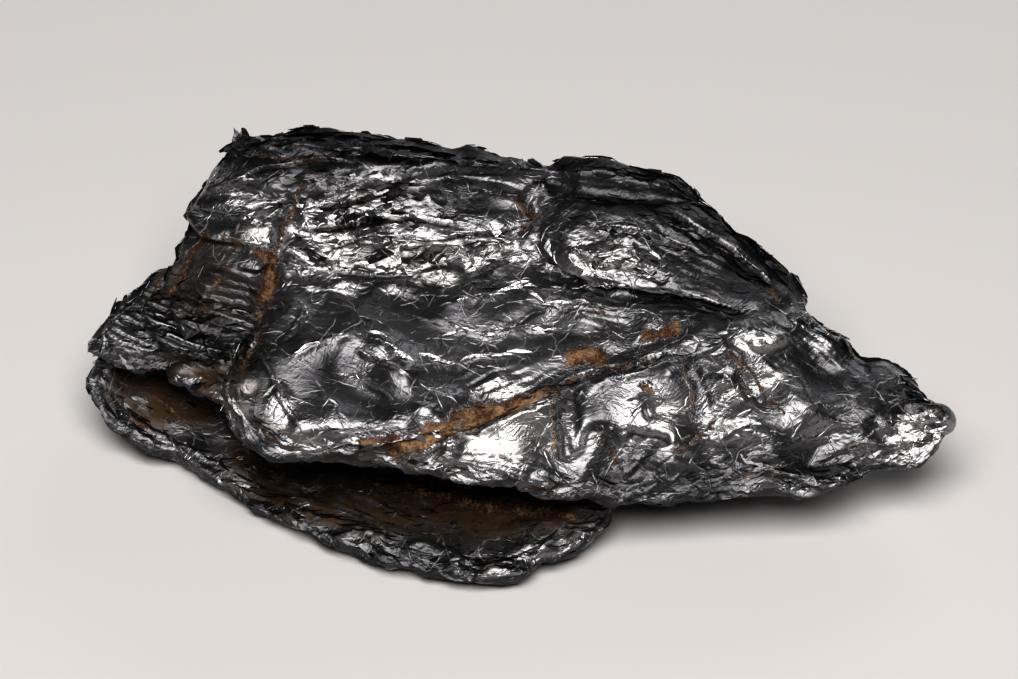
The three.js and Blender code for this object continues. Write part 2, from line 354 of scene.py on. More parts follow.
LEDGE_LIPS = (
    (1.2, 0.6, (
        (55.1, 24), (55.9, 26.3), (57.3, 27.5), (60.8, 28.6), (64, 28.9), (69, 29.6), (75, 31.4),
    )),
    (0.6, 0.8, ((57.5, 25.3), (60.5, 26.4), (63.5, 26.6), (67, 27.6))),
    (0.5, 0.7, ((58, 22), (62, 22.9), (66.5, 23.6), (71, 25.6))),
    (0.5, 0.7, ((66, 20.6), (70, 22.6), (74, 25.6), (77.5, 28.5))),
)
SEAM_LIPS = (
    (0.6, 0.6, ((31, 44.6), (36.4, 44.7), (42.9, 43.3), (46.7, 42.2), (50.6, 40.6), (55, 38.9))),
    (0.45, 0.5, ((55, 38.9), (58.4, 37.4), (60.6, 36.6), (64.4, 36), (68.7, 34.7), (72.5, 33.2))),
    (0.5, 0.6, ((36, 47.2), (38.8, 46.6), (42, 45.6), (44.8, 44.5))),
)
all_lips = CLIFF_LIPS + LEDGE_LIPS + SEAM_LIPS
torn_edges = lined_relief(lip, all_lips)
print("torn edges, mm:", round(torn_edges.min(), 2), "to", round(torn_edges.max(), 2))

# %% Grooves
RUSTY_GROOVE = (
    (30.3, 18.4), (29.1, 21.1), (28.1, 24), (27.1, 26.9), (26.2, 29.9), (25.2, 33), (24, 37.4),
)
GROOVES = (
    (1, 0.8, RUSTY_GROOVE),
    (0.6, 0.6, ((22, 23.6), (24.5, 24.8), (26.6, 25.8))),
    (0.5, 0.5, ((26, 29.5), (30, 29), (34, 28.8), (37, 29.4))),
    (0.5, 0.6, ((56.4, 40.2), (56.6, 43), (56.9, 46.2))),
    (0.6, 0.5, ((62.7, 43.4), (67.3, 43.9))),
    (0.5, 0.5, ((64.2, 39.2), (65.2, 42))),
    (0.7, 0.6, ((73.8, 37.1), (76.4, 40.8))),
    (0.6, 0.6, ((74.5, 47.5), (78, 46.6), (82.5, 46.2), (85.1, 45.4))),
    (0.9, 0.9, ((52.4, 19), (53.8, 20.4), (53.6, 22))),
)
grooves = lined_relief(groove, GROOVES)
print("grooves, mm: down to", round(grooves.min(), 2))

# %% Creases
BASIN_CREASES = (
    (0.35, 0.8, ((44.6, 30.4), (46.5, 30.1), (48.2, 29.6), (49.4, 29.7), (52, 28.6), (54.9, 29))),
    (0.3, 0.6, ((50.6, 27.5), (49.4, 28.4), (47.3, 30.4))),
    (0.25, 0.6, ((49.4, 26.6), (47.3, 28), (45.5, 29.6))),
    (0.3, 0.7, ((52, 28.5), (54.9, 31.1))),
    (0.45, 0.9, ((50.4, 32.9), (52.2, 32.1), (53.5, 31.4), (55.6, 30.9))),
    (0.25, 0.6, ((54.2, 30.5), (58.3, 30.4))),
    (0.3, 0.6, ((49.4, 33.3), (52, 33), (55.1, 33.2))),
    (0.35, 0.7, ((44.2, 31.8), (45.6, 32.8), (47.3, 33.5), (48.4, 33.8), (49.7, 33.7))),
    (0.3, 0.7, ((44.1, 34), (45.3, 33.5), (46.8, 32.8))),
    (0.35, 0.8, ((37, 33.2), (38.7, 34.5), (41, 35.9))),
    (0.35, 0.7, ((41.1, 35.8), (42.9, 35.7), (45.1, 36.4), (47.3, 35.9), (49.4, 35.6), (52.3, 35.4))),
)
NOSE_CREASES = (
    (0.3, 0.6, ((27.6, 39.2), (28.8, 41), (29.8, 42.5))),
    (0.3, 0.6, ((31.9, 39), (32.8, 40), (33.8, 41))),
    (0.35, 0.7, ((28.6, 36.3), (31.3, 34.6), (33.4, 34.1), (35.9, 33.4))),
    (0.25, 0.6, ((35.6, 34.6), (38.3, 36.4), (40.9, 37.6))),
    (0.25, 0.6, ((42.7, 39.9), (41.6, 41.2), (38.6, 41.8))),
    (0.2, 0.6, ((34, 37.6), (36.5, 38.2), (39, 39.8))),
    (0.25, 0.6, ((25.4, 34.6), (27, 37.2), (27.6, 39.2))),
    (0.25, 0.6, ((30.6, 30.6), (29.4, 33), (28.2, 35))),
    (0.2, 0.5, ((33, 43.2), (36, 43.4), (39, 42.6))),
)
LOBE_CREASES = (
    (0.35, 0.6, ((64.6, 36.7), (66.7, 35.4), (68.7, 34.7))),
    (0.3, 0.6, ((66.7, 37.6), (68.6, 36.5))),
    (0.3, 0.5, ((73, 33.8), (74.4, 37), (76.4, 40.8))),
    (0.3, 0.5, ((74.6, 33.2), (76.6, 36.2), (78.4, 39.1), (80.3, 40.6))),
    (0.3, 0.5, ((77.6, 33.4), (79.6, 36.6), (81.8, 40.6))),
    (0.25, 0.5, ((79, 33.6), (81.5, 36.4), (84.4, 38.6), (86, 41.4))),
    (0.3, 0.6, ((83.7, 35.5), (85.6, 37.7), (87.7, 40.1))),
    (0.3, 0.6, ((78, 32.4), (82, 34), (85.6, 35.4), (88.5, 37.5))),
    (0.35, 0.7, ((47, 43.8), (52, 41.2), (54.9, 40.9))),
    (0.35, 0.7, ((44, 44.8), (50.6, 45.5), (56.6, 48))),
    (0.35, 0.7, ((57.4, 39.6), (57.8, 42.4), (57.2, 45.2))),
    (0.25, 0.6, ((59.6, 38.4), (61.2, 41.6), (61.6, 44.8))),
    (0.25, 0.6, ((69.4, 36), (70.4, 39.6), (71.6, 43.8))),
    (0.3, 0.7, ((62, 45.6), (68, 46.4), (74, 45.8), (80, 44.6))),
)
SEAM_CREASES = (
    (0.25, 0.8, ((46, 44.2), (50.8, 42), (55, 40.2), (58.6, 38.6), (63, 37.3), (68, 35.8), (73, 34.2))),
    (0.3, 0.8, ((43, 45.8), (47, 46.2), (52, 47.4), (57, 49.3))),
    (0.3, 0.8, ((30, 46.4), (35, 47.3), (39, 47.9), (44, 47.4))),
)
# How much of the heights and widths in the tables these creases keep.
LOBE_HEIGHT_SHARE = 0.4
BASIN_HEIGHT_SHARE = 0.5
BASIN_WIDTH_SHARE = 0.6

narrowed = tuple((height, BASIN_WIDTH_SHARE * width, line) for height, width, line in BASIN_CREASES)
creases = lined_relief(crease, NOSE_CREASES + SEAM_CREASES)
creases += LOBE_HEIGHT_SHARE * lined_relief(crease, LOBE_CREASES)
creases += BASIN_HEIGHT_SHARE * lined_relief(crease, narrowed)
print("creases, mm: up to", round(creases.max(), 2))

# %% [markdown]
# ## Domes, hollows and tilted leaves
# Between its folds the upper book swells and sinks, and single leaves face another way than those round
# them. On a mirror-like mineral that tilt decides which leaf flashes and which stays black. Stretches of
# the frame with soft edges are enough for this: each is an oval that raises, lowers or tilts the skin.

# %% Oval stretches of the frame
STRETCH_EDGE = 1.6


def patch(middle, half_sizes):
    """1 in the middle of an oval stretch of the frame, and falling softly to 0 past its edge."""
    off = (wobbly_places - np.array(middle)) / np.array(half_sizes)
    return np.clip(STRETCH_EDGE - np.hypot(off[:, 0], off[:, 1]), 0, 1) * in_view


def together(stretches):
    """What all stretches add at each vertex, each (amount, middle, half sizes)."""
    total = np.zeros(len(base))
    for amount, middle, half_sizes in stretches:
        total += amount * patch(middle, half_sizes)
    return total


def strongest(stretches):
    """The most that any stretch gives at each vertex, each (amount, middle, half sizes)."""
    most = np.zeros(len(base))
    for amount, middle, half_sizes in stretches:
        most = np.maximum(most, amount * patch(middle, half_sizes))
    return most


# %% Domes and hollows
# Each is (height, middle, half sizes) in the frame.
SWELLS = (
    (-0.4, (39.4, 39.8), (2.4, 1.5)),
    (-0.5, (41, 30.4), (3.3, 1.1)),
    (-0.5, (44.5, 37.5), (3.5, 1.3)),
    (0.3, (59.5, 26), (4.5, 1.8)),
    (0.4, (37.5, 18.2), (2.2, 0.6)),
    (0.4, (25.8, 23.2), (1.9, 0.9)),
    (0.9, (94, 41.9), (1, 1)),
    (0.7, (89.2, 36.9), (1.6, 1.6)),
    (0.8, (90.6, 42.8), (1.8, 2)),
    (0.9, (54.2, 53.8), (3, 1.6)),
    (0.6, (35.9, 53.7), (1.8, 0.8)),
    (0.6, (41.9, 54.9), (1.5, 0.7)),
    (0.4, (45.5, 56.2), (0.8, 0.6)),
    (0.5, (49.7, 57.2), (3, 0.9)),
    (0.5, (76.2, 34.2), (1.8, 0.8)),
    (0.4, (25.6, 14.8), (2.2, 0.9)),
    (0.5, (65.5, 41), (3.4, 2.6)),
    (0.4, (72.8, 40.6), (2.2, 2.8)),
    (0.6, (19.2, 37.3), (1.8, 0.8)),
)
swells = together(SWELLS)
print("domes and hollows, mm:", round(swells.min(), 2), "to", round(swells.max(), 2))

# %% Tilted leaves
# Each is (slope across, slope down, middle, half sizes) in the frame. A leaf that sinks towards the
# bottom of the frame faces the front, and one that rises faces up.
TILTS = (
    (0, 0.3, (47.3, 20.7), (3, 1.4)),
    (0, 0.4, (32, 18.3), (2.6, 1.1)),
    (0.1, 0.35, (41, 22.6), (1.4, 0.8)),
    (0.15, -0.18, (26, 23.2), (2.2, 1)),
    (0.29, 0.19, (37.5, 18), (2.6, 0.8)),
    (0.05, -0.45, (41.6, 23), (1.8, 0.8)),
    (0.26, 0, (49.1, 22.5), (0.9, 0.3)),
    (0.05, -0.25, (40, 25.6), (9, 1.2)),
    (-0.15, -0.75, (34.8, 28.9), (1.5, 0.7)),
    (0.14, -0.65, (39.1, 28.7), (1.3, 0.6)),
    (-0.1, -0.75, (44.1, 27.8), (1.8, 0.7)),
    (0, -0.4, (50.2, 38.8), (1.6, 1.1)),
    (-0.2, -0.4, (38.6, 35.2), (1.6, 1.3)),
    (0.38, -0.22, (75.8, 34.1), (2.2, 0.9)),
    (-0.3, 0.3, (80.8, 38.2), (2.2, 2.4)),
    (0.1, -0.4, (76.9, 38), (1.6, 0.9)),
    (-0.35, -0.1, (57.5, 42.6), (0.8, 2.4)),
    (0, -0.3, (60, 26.6), (4, 1.3)),
    (-0.38, -0.37, (19.2, 37.6), (1.6, 0.8)),
    (-0.14, -0.48, (27.9, 41.2), (1.2, 1.8)),
    (-0.19, -0.42, (24.8, 38.7), (0.8, 0.8)),
    (0, 0.3, (85.5, 37.8), (3, 2.4)),
    (-0.1, -0.4, (55.2, 53.8), (1.3, 0.9)),
)
for across_slope, down_slope, middle_of_leaf, half_sizes in TILTS:
    off_middle = wobbly_places - np.array(middle_of_leaf)
    rise = across_slope * off_middle[:, 0] + down_slope * off_middle[:, 1]
    swells += rise * patch(middle_of_leaf, half_sizes)
swells = blurred(swells, 2)
print("with tilted leaves, mm:", round(swells.min(), 2), "to", round(swells.max(), 2))

# %% [markdown]
# ## Crumpling
# A squeezed leaf crumples like foil, into flat facets that meet in straight creases. Ordinary noise
# would make soft hills instead. A fold across one direction is a triangle wave, and folds across a few
# random directions add up to just such facets. Stretches that stayed smooth are calmed.

# %% Crumpled facets
FOLD_DIRECTIONS = 5


def facets(points, size, seed):
    """Flat facets of a size in mm that meet in creases, from about -1 to 1."""
    draw = np.random.default_rng(seed)
    total = np.zeros(len(points))
    for index in range(FOLD_DIRECTIONS):
        direction = draw.normal(size=3)
        direction /= np.linalg.norm(direction)
        spacing = size * draw.uniform(0.7, 1.6)
        bend = 0.5 * lumps(points, 2.5 * size, seed + index)
        fold = np.abs((points @ direction / spacing + bend + 2 * draw.random()) % 2 - 1)
        total += 2 * fold - 1
    return total / FOLD_DIRECTIONS


# %% Smooth stretches
# Each is (share of the crumpling taken off, middle, half sizes) in the frame.
CALM_STRETCHES = (
    (0.95, (49, 33.5), (11, 5)),
    (0.95, (41, 31), (5.5, 2.6)),
    (0.9, (37.5, 39.5), (4.5, 2.8)),
    (0.85, (29, 37.5), (5, 4)),
    (0.8, (31, 43), (6, 3)),
    (0.85, (51.5, 43.2), (5.5, 2.4)),
    (0.6, (65, 41), (7, 3.5)),
    (0.8, (79, 37.5), (6, 4)),
    (0.8, (85, 38), (4, 3)),
    (0.85, (47.5, 20.5), (3, 1.6)),
    (0.5, (37, 20), (11, 4)),
    (0.6, (40, 26), (11, 1.8)),
    (0.6, (65, 30.5), (7, 2)),
    (0.6, (20, 33), (6, 4.5)),
    (0.8, (26, 23.2), (2, 0.9)),
    (0.7, (34.8, 28.9), (1.3, 0.6)),
    (0.7, (39.1, 28.7), (1.2, 0.5)),
    (0.7, (44.1, 27.8), (1.6, 0.6)),
    (0.5, (60, 25.5), (4.5, 2.6)),
)
SMOOTHING_ROUNDS = 60

calm = strongest(CALM_STRETCHES)
smoothed = np.stack([blurred(axis, SMOOTHING_ROUNDS) for axis in base.T], axis=1)
levelled = np.clip(1.2 * blurred(calm, 6) - 0.2, 0, 1)[:, None] * (smoothed - base)
print("smooth, share of the skin:", round(calm.mean(), 3))

# %% Crumple the rest
# Facets, each (height in mm, size in mm, seed). The coarse ones come and go over a few mm.
COARSE_FACETS = (0.34, 3.4, 21)
MIDDLE_FACETS = (0.13, 1.6, 31)
FINE_FACETS = (0.04, 0.8, 61)
RESTLESS_SIZE = 9
LEAF_STRETCH = np.array((0.6, 1.0, 1.0))

drawn_out = base * LEAF_STRETCH
restless = 0.5 + 0.5 * lumps(base, RESTLESS_SIZE, 11)


def crumpled(height, size, seed):
    """Facets drawn out along the leaves, in mm."""
    return height * facets(drawn_out, size, seed)


crumple = crumpled(*COARSE_FACETS) * (0.5 + restless)
crumple += crumpled(*MIDDLE_FACETS)
crumple += crumpled(*FINE_FACETS)
crumple *= 1 - calm
print("crumple, mm:", np.round(np.percentile(crumple, (1, 99)), 2))

# %% [markdown]
# ## Leaves at the sides
# Where the book ends, its leaves show edge on as a pile of thin layers. Hundreds of real layers would
# be slow and would cut through each other. A saw tooth does as well: following the height with a little
# noise, the skin steps out slowly and back sharply once a layer.

# %% Layer edges on the steep faces
# Layers, each (height of the step in mm, thickness of the layer in mm, seed).
THICK_LAYERS = (0.55, 1.9, 41)
THIN_LAYERS = (0.30, 0.8, 43)
LAYER_MIDDLE = 0.4

steep = 1 - np.abs(facing[:, 2])


def layered(height, thickness, seed):
    """A saw tooth up the pile: out along each layer, back at its edge, from 0 to height."""
    warped = base[:, 2] + 1.6 * lumps(base, 14, seed) + 0.5 * lumps(base, 4, seed + 1)
    return height * ((warped / thickness) % 1.0)


layers = layered(*THICK_LAYERS) + layered(*THIN_LAYERS)
layer_relief = (layers - LAYER_MIDDLE) * np.clip(steep * 1.6 - 0.3, 0, 1) * (1 - 0.7 * in_view)
print("layers, mm:", np.round(np.percentile(layer_relief, (1, 99)), 2))

# %% Combed stretches
# Stretches where leaf edges run side by side, each (height, spacing, direction in degrees below
# the horizontal, middle, half sizes) in the frame.
COMBED_STRETCHES = (
    (0.34, 0.9, 16, (21, 33), (4.5, 4.5)),
    (0.24, 0.8, 24, (15.5, 33), (4.5, 4)),
    (0.08, 1.9, -7, (38, 18), (11, 4)),
    (0.12, 0.7, 8, (64, 30), (8, 2.2)),
    (0.14, 0.9, 30, (70, 24), (8, 4)),
    (0.2, 0.9, 36, (83, 34), (8, 2.6)),
    (0.14, 0.9, 24, (30, 50.5), (10, 2)),
    (0.16, 0.9, -24, (50, 38), (6, 1.2)),
)


def combed(spacing, degrees, seed):
    """A saw tooth across one direction of the frame, from 0 to 1."""
    turn = math.radians(degrees)
    across = wobbly_places @ np.array((-math.sin(turn), math.cos(turn)))
    return (across / spacing + 0.6 * lumps(base, 5, seed)) % 1.0


combing = np.zeros(len(base))
for seed, (height, spacing, degrees, middle_of_patch, half_sizes) in enumerate(COMBED_STRETCHES, 70):
    combing += height * (combed(spacing, degrees, seed) - 0.5) * patch(middle_of_patch, half_sizes)
print("combing, mm:", np.round(np.percentile(combing, (1, 99)), 2))

# %% Move the skin
GRAIN = 0.02
GRAIN_SIZE = 0.6

relief = swells + torn_edges + grooves + creases + crumple + combing + layer_relief * (1 - calm)
relief += GRAIN * lumps(base, GRAIN_SIZE, 51)
place_skin(base + levelled + facing * relief[:, None])
print("relief, mm:", np.round(np.percentile(relief, (0, 1, 50, 99, 100)), 2))

# %% [markdown]
# ## What the finish follows
# Rust sits in the seams and spreads from them. The colour also carries painted shade in the hollows and
# cracks, and painted highlight on some leaves and painted shade on others. An image would need a map of the
# whole skin. Numbers stored on the vertices need none: each kind of place is painted on the skin as an
# attribute that the material reads.

# %% Rust
# Each is (strength, width in mm, places in the frame).
RUST_LINES = (
    (0.6, 0.55, RUSTY_GROOVE),
    (1.1, 0.8, ((26, 25.6), (27.2, 25.6), (26.9, 27.4), (26.5, 28.8))),
    (0.75, 0.45, ((21, 23.6), (18.6, 26.4), (17, 29.4))),
    (0.65, 0.3, ((23.4, 26.4), (21.4, 28.2), (20, 31))),
    (0.55, 0.9, ((26.4, 29.5), (25.4, 33), (24.4, 36))),
    (0.85, 0.5, ((22.5, 23.8), (24.5, 24.6), (26.2, 25.5), (27.4, 25.8))),
    (0.6, 0.3, ((25.5, 15.7), (28.7, 16), (33, 15.6), (34, 15.4))),
    (0.55, 0.3, ((20.6, 26.5), (19.6, 28.4), (18.9, 29.9))),
    (0.55, 0.4, ((17.7, 25.5), (16, 28), (15.5, 30.1))),
    (1.1, 0.9, ((36.4, 44.6), (40, 44), (43.5, 43), (46.7, 42.4), (50.6, 40.8), (54.6, 39.2))),
    (1.15, 1.25, ((39.5, 44.8), (42.5, 43.8), (45.5, 42.6), (48.5, 41.2))),
    (0.75, 0.3, ((54.6, 39.2), (59.3, 37.2), (61.5, 36.6), (64.4, 36))),
    (1.3, 1, ((57.4, 36), (58.8, 35.3), (60, 36))),
    (1.15, 0.7, ((64.6, 33.7), (66.2, 33.2), (67.6, 32.8))),
    (0.9, 0.45, ((64.2, 38.5), (65, 39.1))),
    (0.8, 0.55, ((54.3, 39.4), (55.6, 39.2))),
    (0.72, 0.28, ((68.3, 35.6), (69, 39), (69.1, 42.3))),
    (0.78, 0.3, ((54.8, 39.6), (55.6, 42.2), (55.2, 45.6))),
    (0.68, 0.26, ((74.4, 36.4), (76.4, 39.2), (78.4, 41.2))),
    (0.66, 0.26, ((72.6, 34.6), (74.4, 37.2), (75.2, 39.6))),
    (0.66, 0.28, ((59.6, 42.6), (61.4, 45.4), (62.4, 47.2))),
    (0.9, 0.26, ((71.6, 41.6), (70, 43.8), (68.2, 45))),
    (0.6, 0.18, ((82.6, 45.2), (85.6, 44.8), (88.4, 44.9))),
    (0.75, 0.35, ((70, 24), (72.4, 25.4))),
    (0.85, 0.4, ((77, 28.6), (77.6, 30))),
    (0.6, 0.25, ((58.6, 29.8), (60.4, 31.4), (61, 33.4))),
    (0.7, 0.25, ((68.5, 44), (66.9, 45.4))),
    (0.6, 0.35, ((38.6, 46.6), (42, 45.8), (44.7, 44.8))),
    (0.72, 1, ((38, 48.4), (44, 49.6), (51, 50.9), (57, 51.4))),
    (0.6, 1.1, ((52, 20), (53.5, 21.4), (53, 22.4))),
    (0.75, 0.25, (
        (10.8, 37.3), (12.2, 38.1), (13.6, 38.7), (14.9, 39.4), (16.7, 40.5), (18.1, 42), (19.2, 43),
    )),
    (0.95, 0.55, ((12.8, 40.8), (13.6, 41.6), (14.5, 42.4))),
    (0.6, 0.4, ((42, 57.2), (44.6, 58), (47, 57.8), (48.5, 56.8), (50, 55.8))),
    (0.55, 0.4, ((74, 47.6), (76, 47.4), (78.2, 47.4))),
)
rust = np.zeros(len(base))
for strength, width, line in RUST_LINES:
    signed, _ = along_line(wobbly_places, line)
    rust = np.maximum(rust, strength * band(signed, width))
rust *= in_view
print("rusty, share of the skin:", round((rust > 0.5).mean(), 3))

# %% Painted shade in cracks
# Painted shade in the gap under a lip, placed and sized in widths of the lip.
GAP_OFF = 0.35
GAP_WIDTH = 0.4
# Painted shade along cracks between leaves, each (strength, width in mm, places in the frame).
CRACK_SHADE_LINES = (
    (1.2, 0.3, ((30, 21.3), (33, 20.6), (36, 19.8), (39, 19.1), (42.5, 18.5))),
    (1, 0.25, ((30, 22.9), (34, 22.8), (38, 22.4), (41.5, 21.6))),
    (0.9, 0.2, ((32, 27.5), (37, 27.8), (42, 27.4), (46, 26.6))),
    (0.9, 0.18, ((24.4, 17.6), (26.4, 17), (29, 16.6))),
    (0.9, 0.16, ((43, 24), (47, 23.8), (51, 23.2))),
    (1, 0.2, ((62.7, 43.4), (65, 43.6), (67.3, 43.9))),
    (0.6, 0.16, ((56.6, 40.4), (56.7, 43), (56.3, 46))),
    (0.8, 0.16, ((78.2, 36.2), (80.2, 38.6), (81.6, 41.4))),
    (0.8, 0.16, ((73.4, 35.4), (75.4, 37.6), (76.8, 40.4))),
)
crack_shade = np.zeros(len(base))
for depth, width, line in all_lips:
    signed, share = along_line(wobbly_places, line)
    gap = band(signed - GAP_OFF * width, GAP_WIDTH * width) * tapered(share)
    crack_shade = np.maximum(crack_shade, min(1.0, depth) * gap)
for strength, width, line in CRACK_SHADE_LINES:
    signed, share = along_line(wobbly_places, line)
    crack_shade = np.maximum(crack_shade, strength * band(signed, width) * tapered(share))
crack_shade *= in_view
print("cracked, share of the skin:", round((crack_shade > 0.5).mean(), 3))

# %% Stained and grainy stretches, painted highlight and painted shade
# Stained dark brown, together with painted shade, inside the cleft, each (strength, middle, half sizes) in
# the frame.
STAIN_AND_SHADE_STRETCHES = (
    (1, (36, 49.5), (12, 3.2)),
    (1, (50, 51.2), (9, 2.6)),
    (1, (18, 39.5), (6, 3)),
    (0.8, (26, 46), (4, 3)),
    (0.35, (20, 28), (4.5, 4.5)),
)
# Broken into small tilted grains, each (strength, middle, half sizes).
GRAINY_STRETCHES = (
    (1, (39, 25.6), (11, 1.8)),
    (0.9, (36.5, 20.5), (8, 3.4)),
    (0.8, (27.5, 18.6), (4, 2.4)),
    (0.6, (30, 15.5), (7, 1.5)),
    (0.6, (60, 26), (6, 2)),
    (0.6, (42, 28.6), (8, 1)),
    (0.8, (92, 42.5), (4.5, 3.5)),
    (0.5, (70, 46.6), (9, 1.4)),
    (0.5, (37, 54), (5, 1.4)),
    (0.6, (54, 53.4), (3.4, 1.6)),
    (0.5, (72, 37), (2.5, 2)),
)
# Painted highlight (above 0) or painted shade (below 0) in the colour, each (amount, middle, half sizes).
PAINTED_LIGHT_STRETCHES = (
    (1, (51.5, 43.5), (5, 2.2)),
    (0.8, (66, 41.2), (3.6, 2.8)),
    (0.7, (72.8, 40.6), (2.4, 3)),
    (1, (75.8, 34.1), (2.2, 0.9)),
    (0.7, (76.9, 38), (1.8, 0.9)),
    (0.7, (90.7, 42.8), (2.2, 2.4)),
    (0.3, (40, 26), (11, 1.4)),
    (1, (26, 23.2), (2, 1.1)),
    (0.6, (60, 26.2), (4.2, 1.6)),
    (0.6, (27.9, 41), (1.2, 1.8)),
    (0.5, (29.6, 44.8), (2.4, 0.8)),
    (0.6, (50.2, 38.8), (1.6, 1)),
    (0.6, (19.2, 37.6), (1.4, 0.7)),
    (0.4, (55, 53.6), (1.2, 0.7)),
    (0.9, (34.8, 28.9), (1.4, 0.6)),
    (0.9, (39.1, 28.7), (1.3, 0.5)),
    (1.2, (44.1, 27.8), (1.7, 0.6)),
    (0.8, (24.8, 38.7), (0.7, 0.7)),
    (-1.2, (19, 31), (7, 6)),
    (-1.2, (39, 14.4), (18, 2)),
    (0.5, (40, 25.4), (10, 1.6)),
    (-0.4, (66, 40), (8, 4)),
    (-0.8, (31.5, 18), (4, 1.6)),
    (-0.9, (47.3, 20.6), (3, 1.4)),
    (-1.2, (63, 18.5), (8, 2.8)),
    (-1.2, (74.5, 26), (7, 5)),
    (-0.5, (66, 22.8), (6, 1.6)),
    (-0.8, (66, 48), (9, 2)),
    (-0.6, (80, 46), (5, 1.4)),
    (-0.8, (36, 54), (16, 4)),
    (-0.5, (25, 38), (2.6, 3)),
    (-0.5, (26, 45), (4, 1.4)),
    (-0.35, (26, 41), (2.6, 3.4)),
    (-0.7, (14, 41), (6, 4.5)),
    (-0.4, (49, 33), (8, 3.6)),
    (-0.6, (31, 36), (4, 2.4)),
    (-0.6, (40, 31), (6, 2.6)),
    (-0.7, (44.6, 37.2), (3.6, 1.2)),
    (-0.6, (39.4, 39.8), (2.4, 1.5)),
    (-0.5, (33, 38.4), (3, 1.8)),
    (-0.6, (80.8, 38.2), (2.4, 2.4)),
    (-0.6, (85.5, 38), (4, 3.2)),
    (-0.5, (65, 31), (7, 1.8)),
    (-0.4, (60.6, 41.6), (1.6, 3)),
)
stain_and_shade = strongest(STAIN_AND_SHADE_STRETCHES)
grainy = strongest(GRAINY_STRETCHES)
painted_light = together(PAINTED_LIGHT_STRETCHES)
# Painted shade on faces that turn to the side and down, stronger where the camera sees them.
painted_light -= np.clip((0.3 - facing[:, 2]) / 0.5, 0, 1) * (0.3 + 0.7 * in_view)
painted_light = np.clip(painted_light, -1, 1)
print("sheen:", np.round(np.percentile(painted_light, (1, 50, 99)), 2))

# %% Hollows, and painting it all
DEEP_HOLLOW = 0.25

finished = skin_places()
evened = np.stack([blurred(axis, 5) for axis in finished.T], axis=1)
hollow = np.einsum("ij,ij->i", evened - finished, facing)
print("hollows, mm:", np.round(np.percentile(hollow, (1, 50, 99)), 3))


def paint(name, values):
    """Store one number a vertex on the skin, for the material to read."""
    attribute = skin.data.attributes.new(name, "FLOAT", "POINT")
    attribute.data.foreach_set("value", values.astype(np.float32))


paint("rust", rust)
paint("hollow", np.clip(hollow / DEEP_HOLLOW, -1, 1))
paint("crack_shade", crack_shade)
paint("painted_light", painted_light)
paint("calm", blurred(calm, 3))
paint("stain_and_shade", stain_and_shade)
paint("grainy", blurred(grainy, 3))

# %% [markdown]
# ## Torn leaves
# Wherever a leaf ends, thin slivers of it stand off the skin. Pushing the skin in and out can't make
# them, because they overhang, and a scatter of instances would repeat one shape. So each sliver is a
# closed wedge of some two dozen faces: its root is sunk in the skin, its free edge is torn and a little
# lifted. A shrinkwrap modifier would lay all its corners at one height, so they are found one by one,
# each at its own height over the skin, and are joined in a bmesh.

# %% One sliver
SECTIONS = 7
SUNK = 0.12
SLIVER_THICKNESS = 0.05
SLIVER_END = 0.03
SLIVER_TIP = 0.08

draw = random.Random(11)
skin_faces = [tuple(face.vertices) for face in skin.data.polygons]
skin_tree = BVHTree.FromPolygons([Vector(place) for place in skin_places().tolist()], skin_faces)
sliver_form = bmesh.new()
sliver_painted_light = sliver_form.verts.layers.float.new("painted_light")


print("the slivers follow", len(skin_faces), "faces")


def flat_on(outward, direction):
    """The part of a direction that lies flat on a skin that faces outward."""
    return (direction - outward * direction.dot(outward)).normalized()


def add_sliver(place, along, length, width, lift, painted_highlight=0.0):
    """One torn leaf that follows the skin from place, its free edge to the right of along."""
    root, outward, _, _ = skin_tree.find_nearest(place)
    along = flat_on(outward, along)
    across = along.cross(outward)
    curl = draw.uniform(0.6, 1.4)
    steps = [draw.uniform(0.3, 1.7) for _ in range(SECTIONS - 1)]
    tear = draw.uniform(0.8, 1.1)
    rows = []
    for section in range(SECTIONS):
        share = sum(steps[:section]) / sum(steps)
        tear = 0.5 * tear + 0.5 * draw.uniform(0.5, 1.2)
        rounded = math.sin(math.pi * min(1 - SLIVER_END, SLIVER_END + share)) ** 0.6
        wide = width * (SLIVER_TIP + rounded * tear)
        high = lift * curl * (0.3 + 0.7 * math.sin(math.pi * share)) * draw.uniform(0.9, 1.1)
        profile = (
            (0, -SUNK), (0.55 * wide, 0.35 * high), (wide, high),
            (0.5 * wide, 0.3 * high - SLIVER_THICKNESS),
        )
        middle = root + along * (share - 0.5) * length
        row = []
        for off, height in profile:
            on_skin, skin_facing, face, _ = skin_tree.find_nearest(middle + across * off)
            corner = sliver_form.verts.new((on_skin + skin_facing * height) * MM)
            # Each corner takes the painted highlight or shade of the skin under it.
            corner[sliver_painted_light] = min(1.0, painted_light[skin_faces[face][0]] + painted_highlight)
            row.append(corner)
        rows.append(row)
    for low, high in zip(rows[:-1], rows[1:]):
        for side in range(4):
            turned = (side + 1) % 4
            sliver_form.faces.new((low[side], low[turned], high[turned], high[side]))
    sliver_form.faces.new(rows[0][::-1])
    sliver_form.faces.new(rows[-1])


def sliver_count():
    """How many slivers there are so far."""
    return len(sliver_form.faces) // (4 * SECTIONS - 2)


# %% Places on the front
NEAR_ENOUGH = 0.6

seen = np.flatnonzero(lit > 0)
seen_tree = KDTree(len(seen))
for index, place in enumerate(places_in_frame[seen].tolist()):
    seen_tree.insert((*place, 0), index)
seen_tree.balance()
carved = skin_places()
print("places on the front:", len(seen))


def on_front(spot):
    """The point of the skin that shows at a place in the frame, and how far off it shows."""
    _, index, off = seen_tree.find((spot[0], spot[1], 0))
    return Vector(carved[seen[index]]), off


def in_frame(direction):
    """A direction across and down the frame as a direction in space."""
    return Vector((direction[0], 0, 0)) - Vector(frame_up) * direction[1]


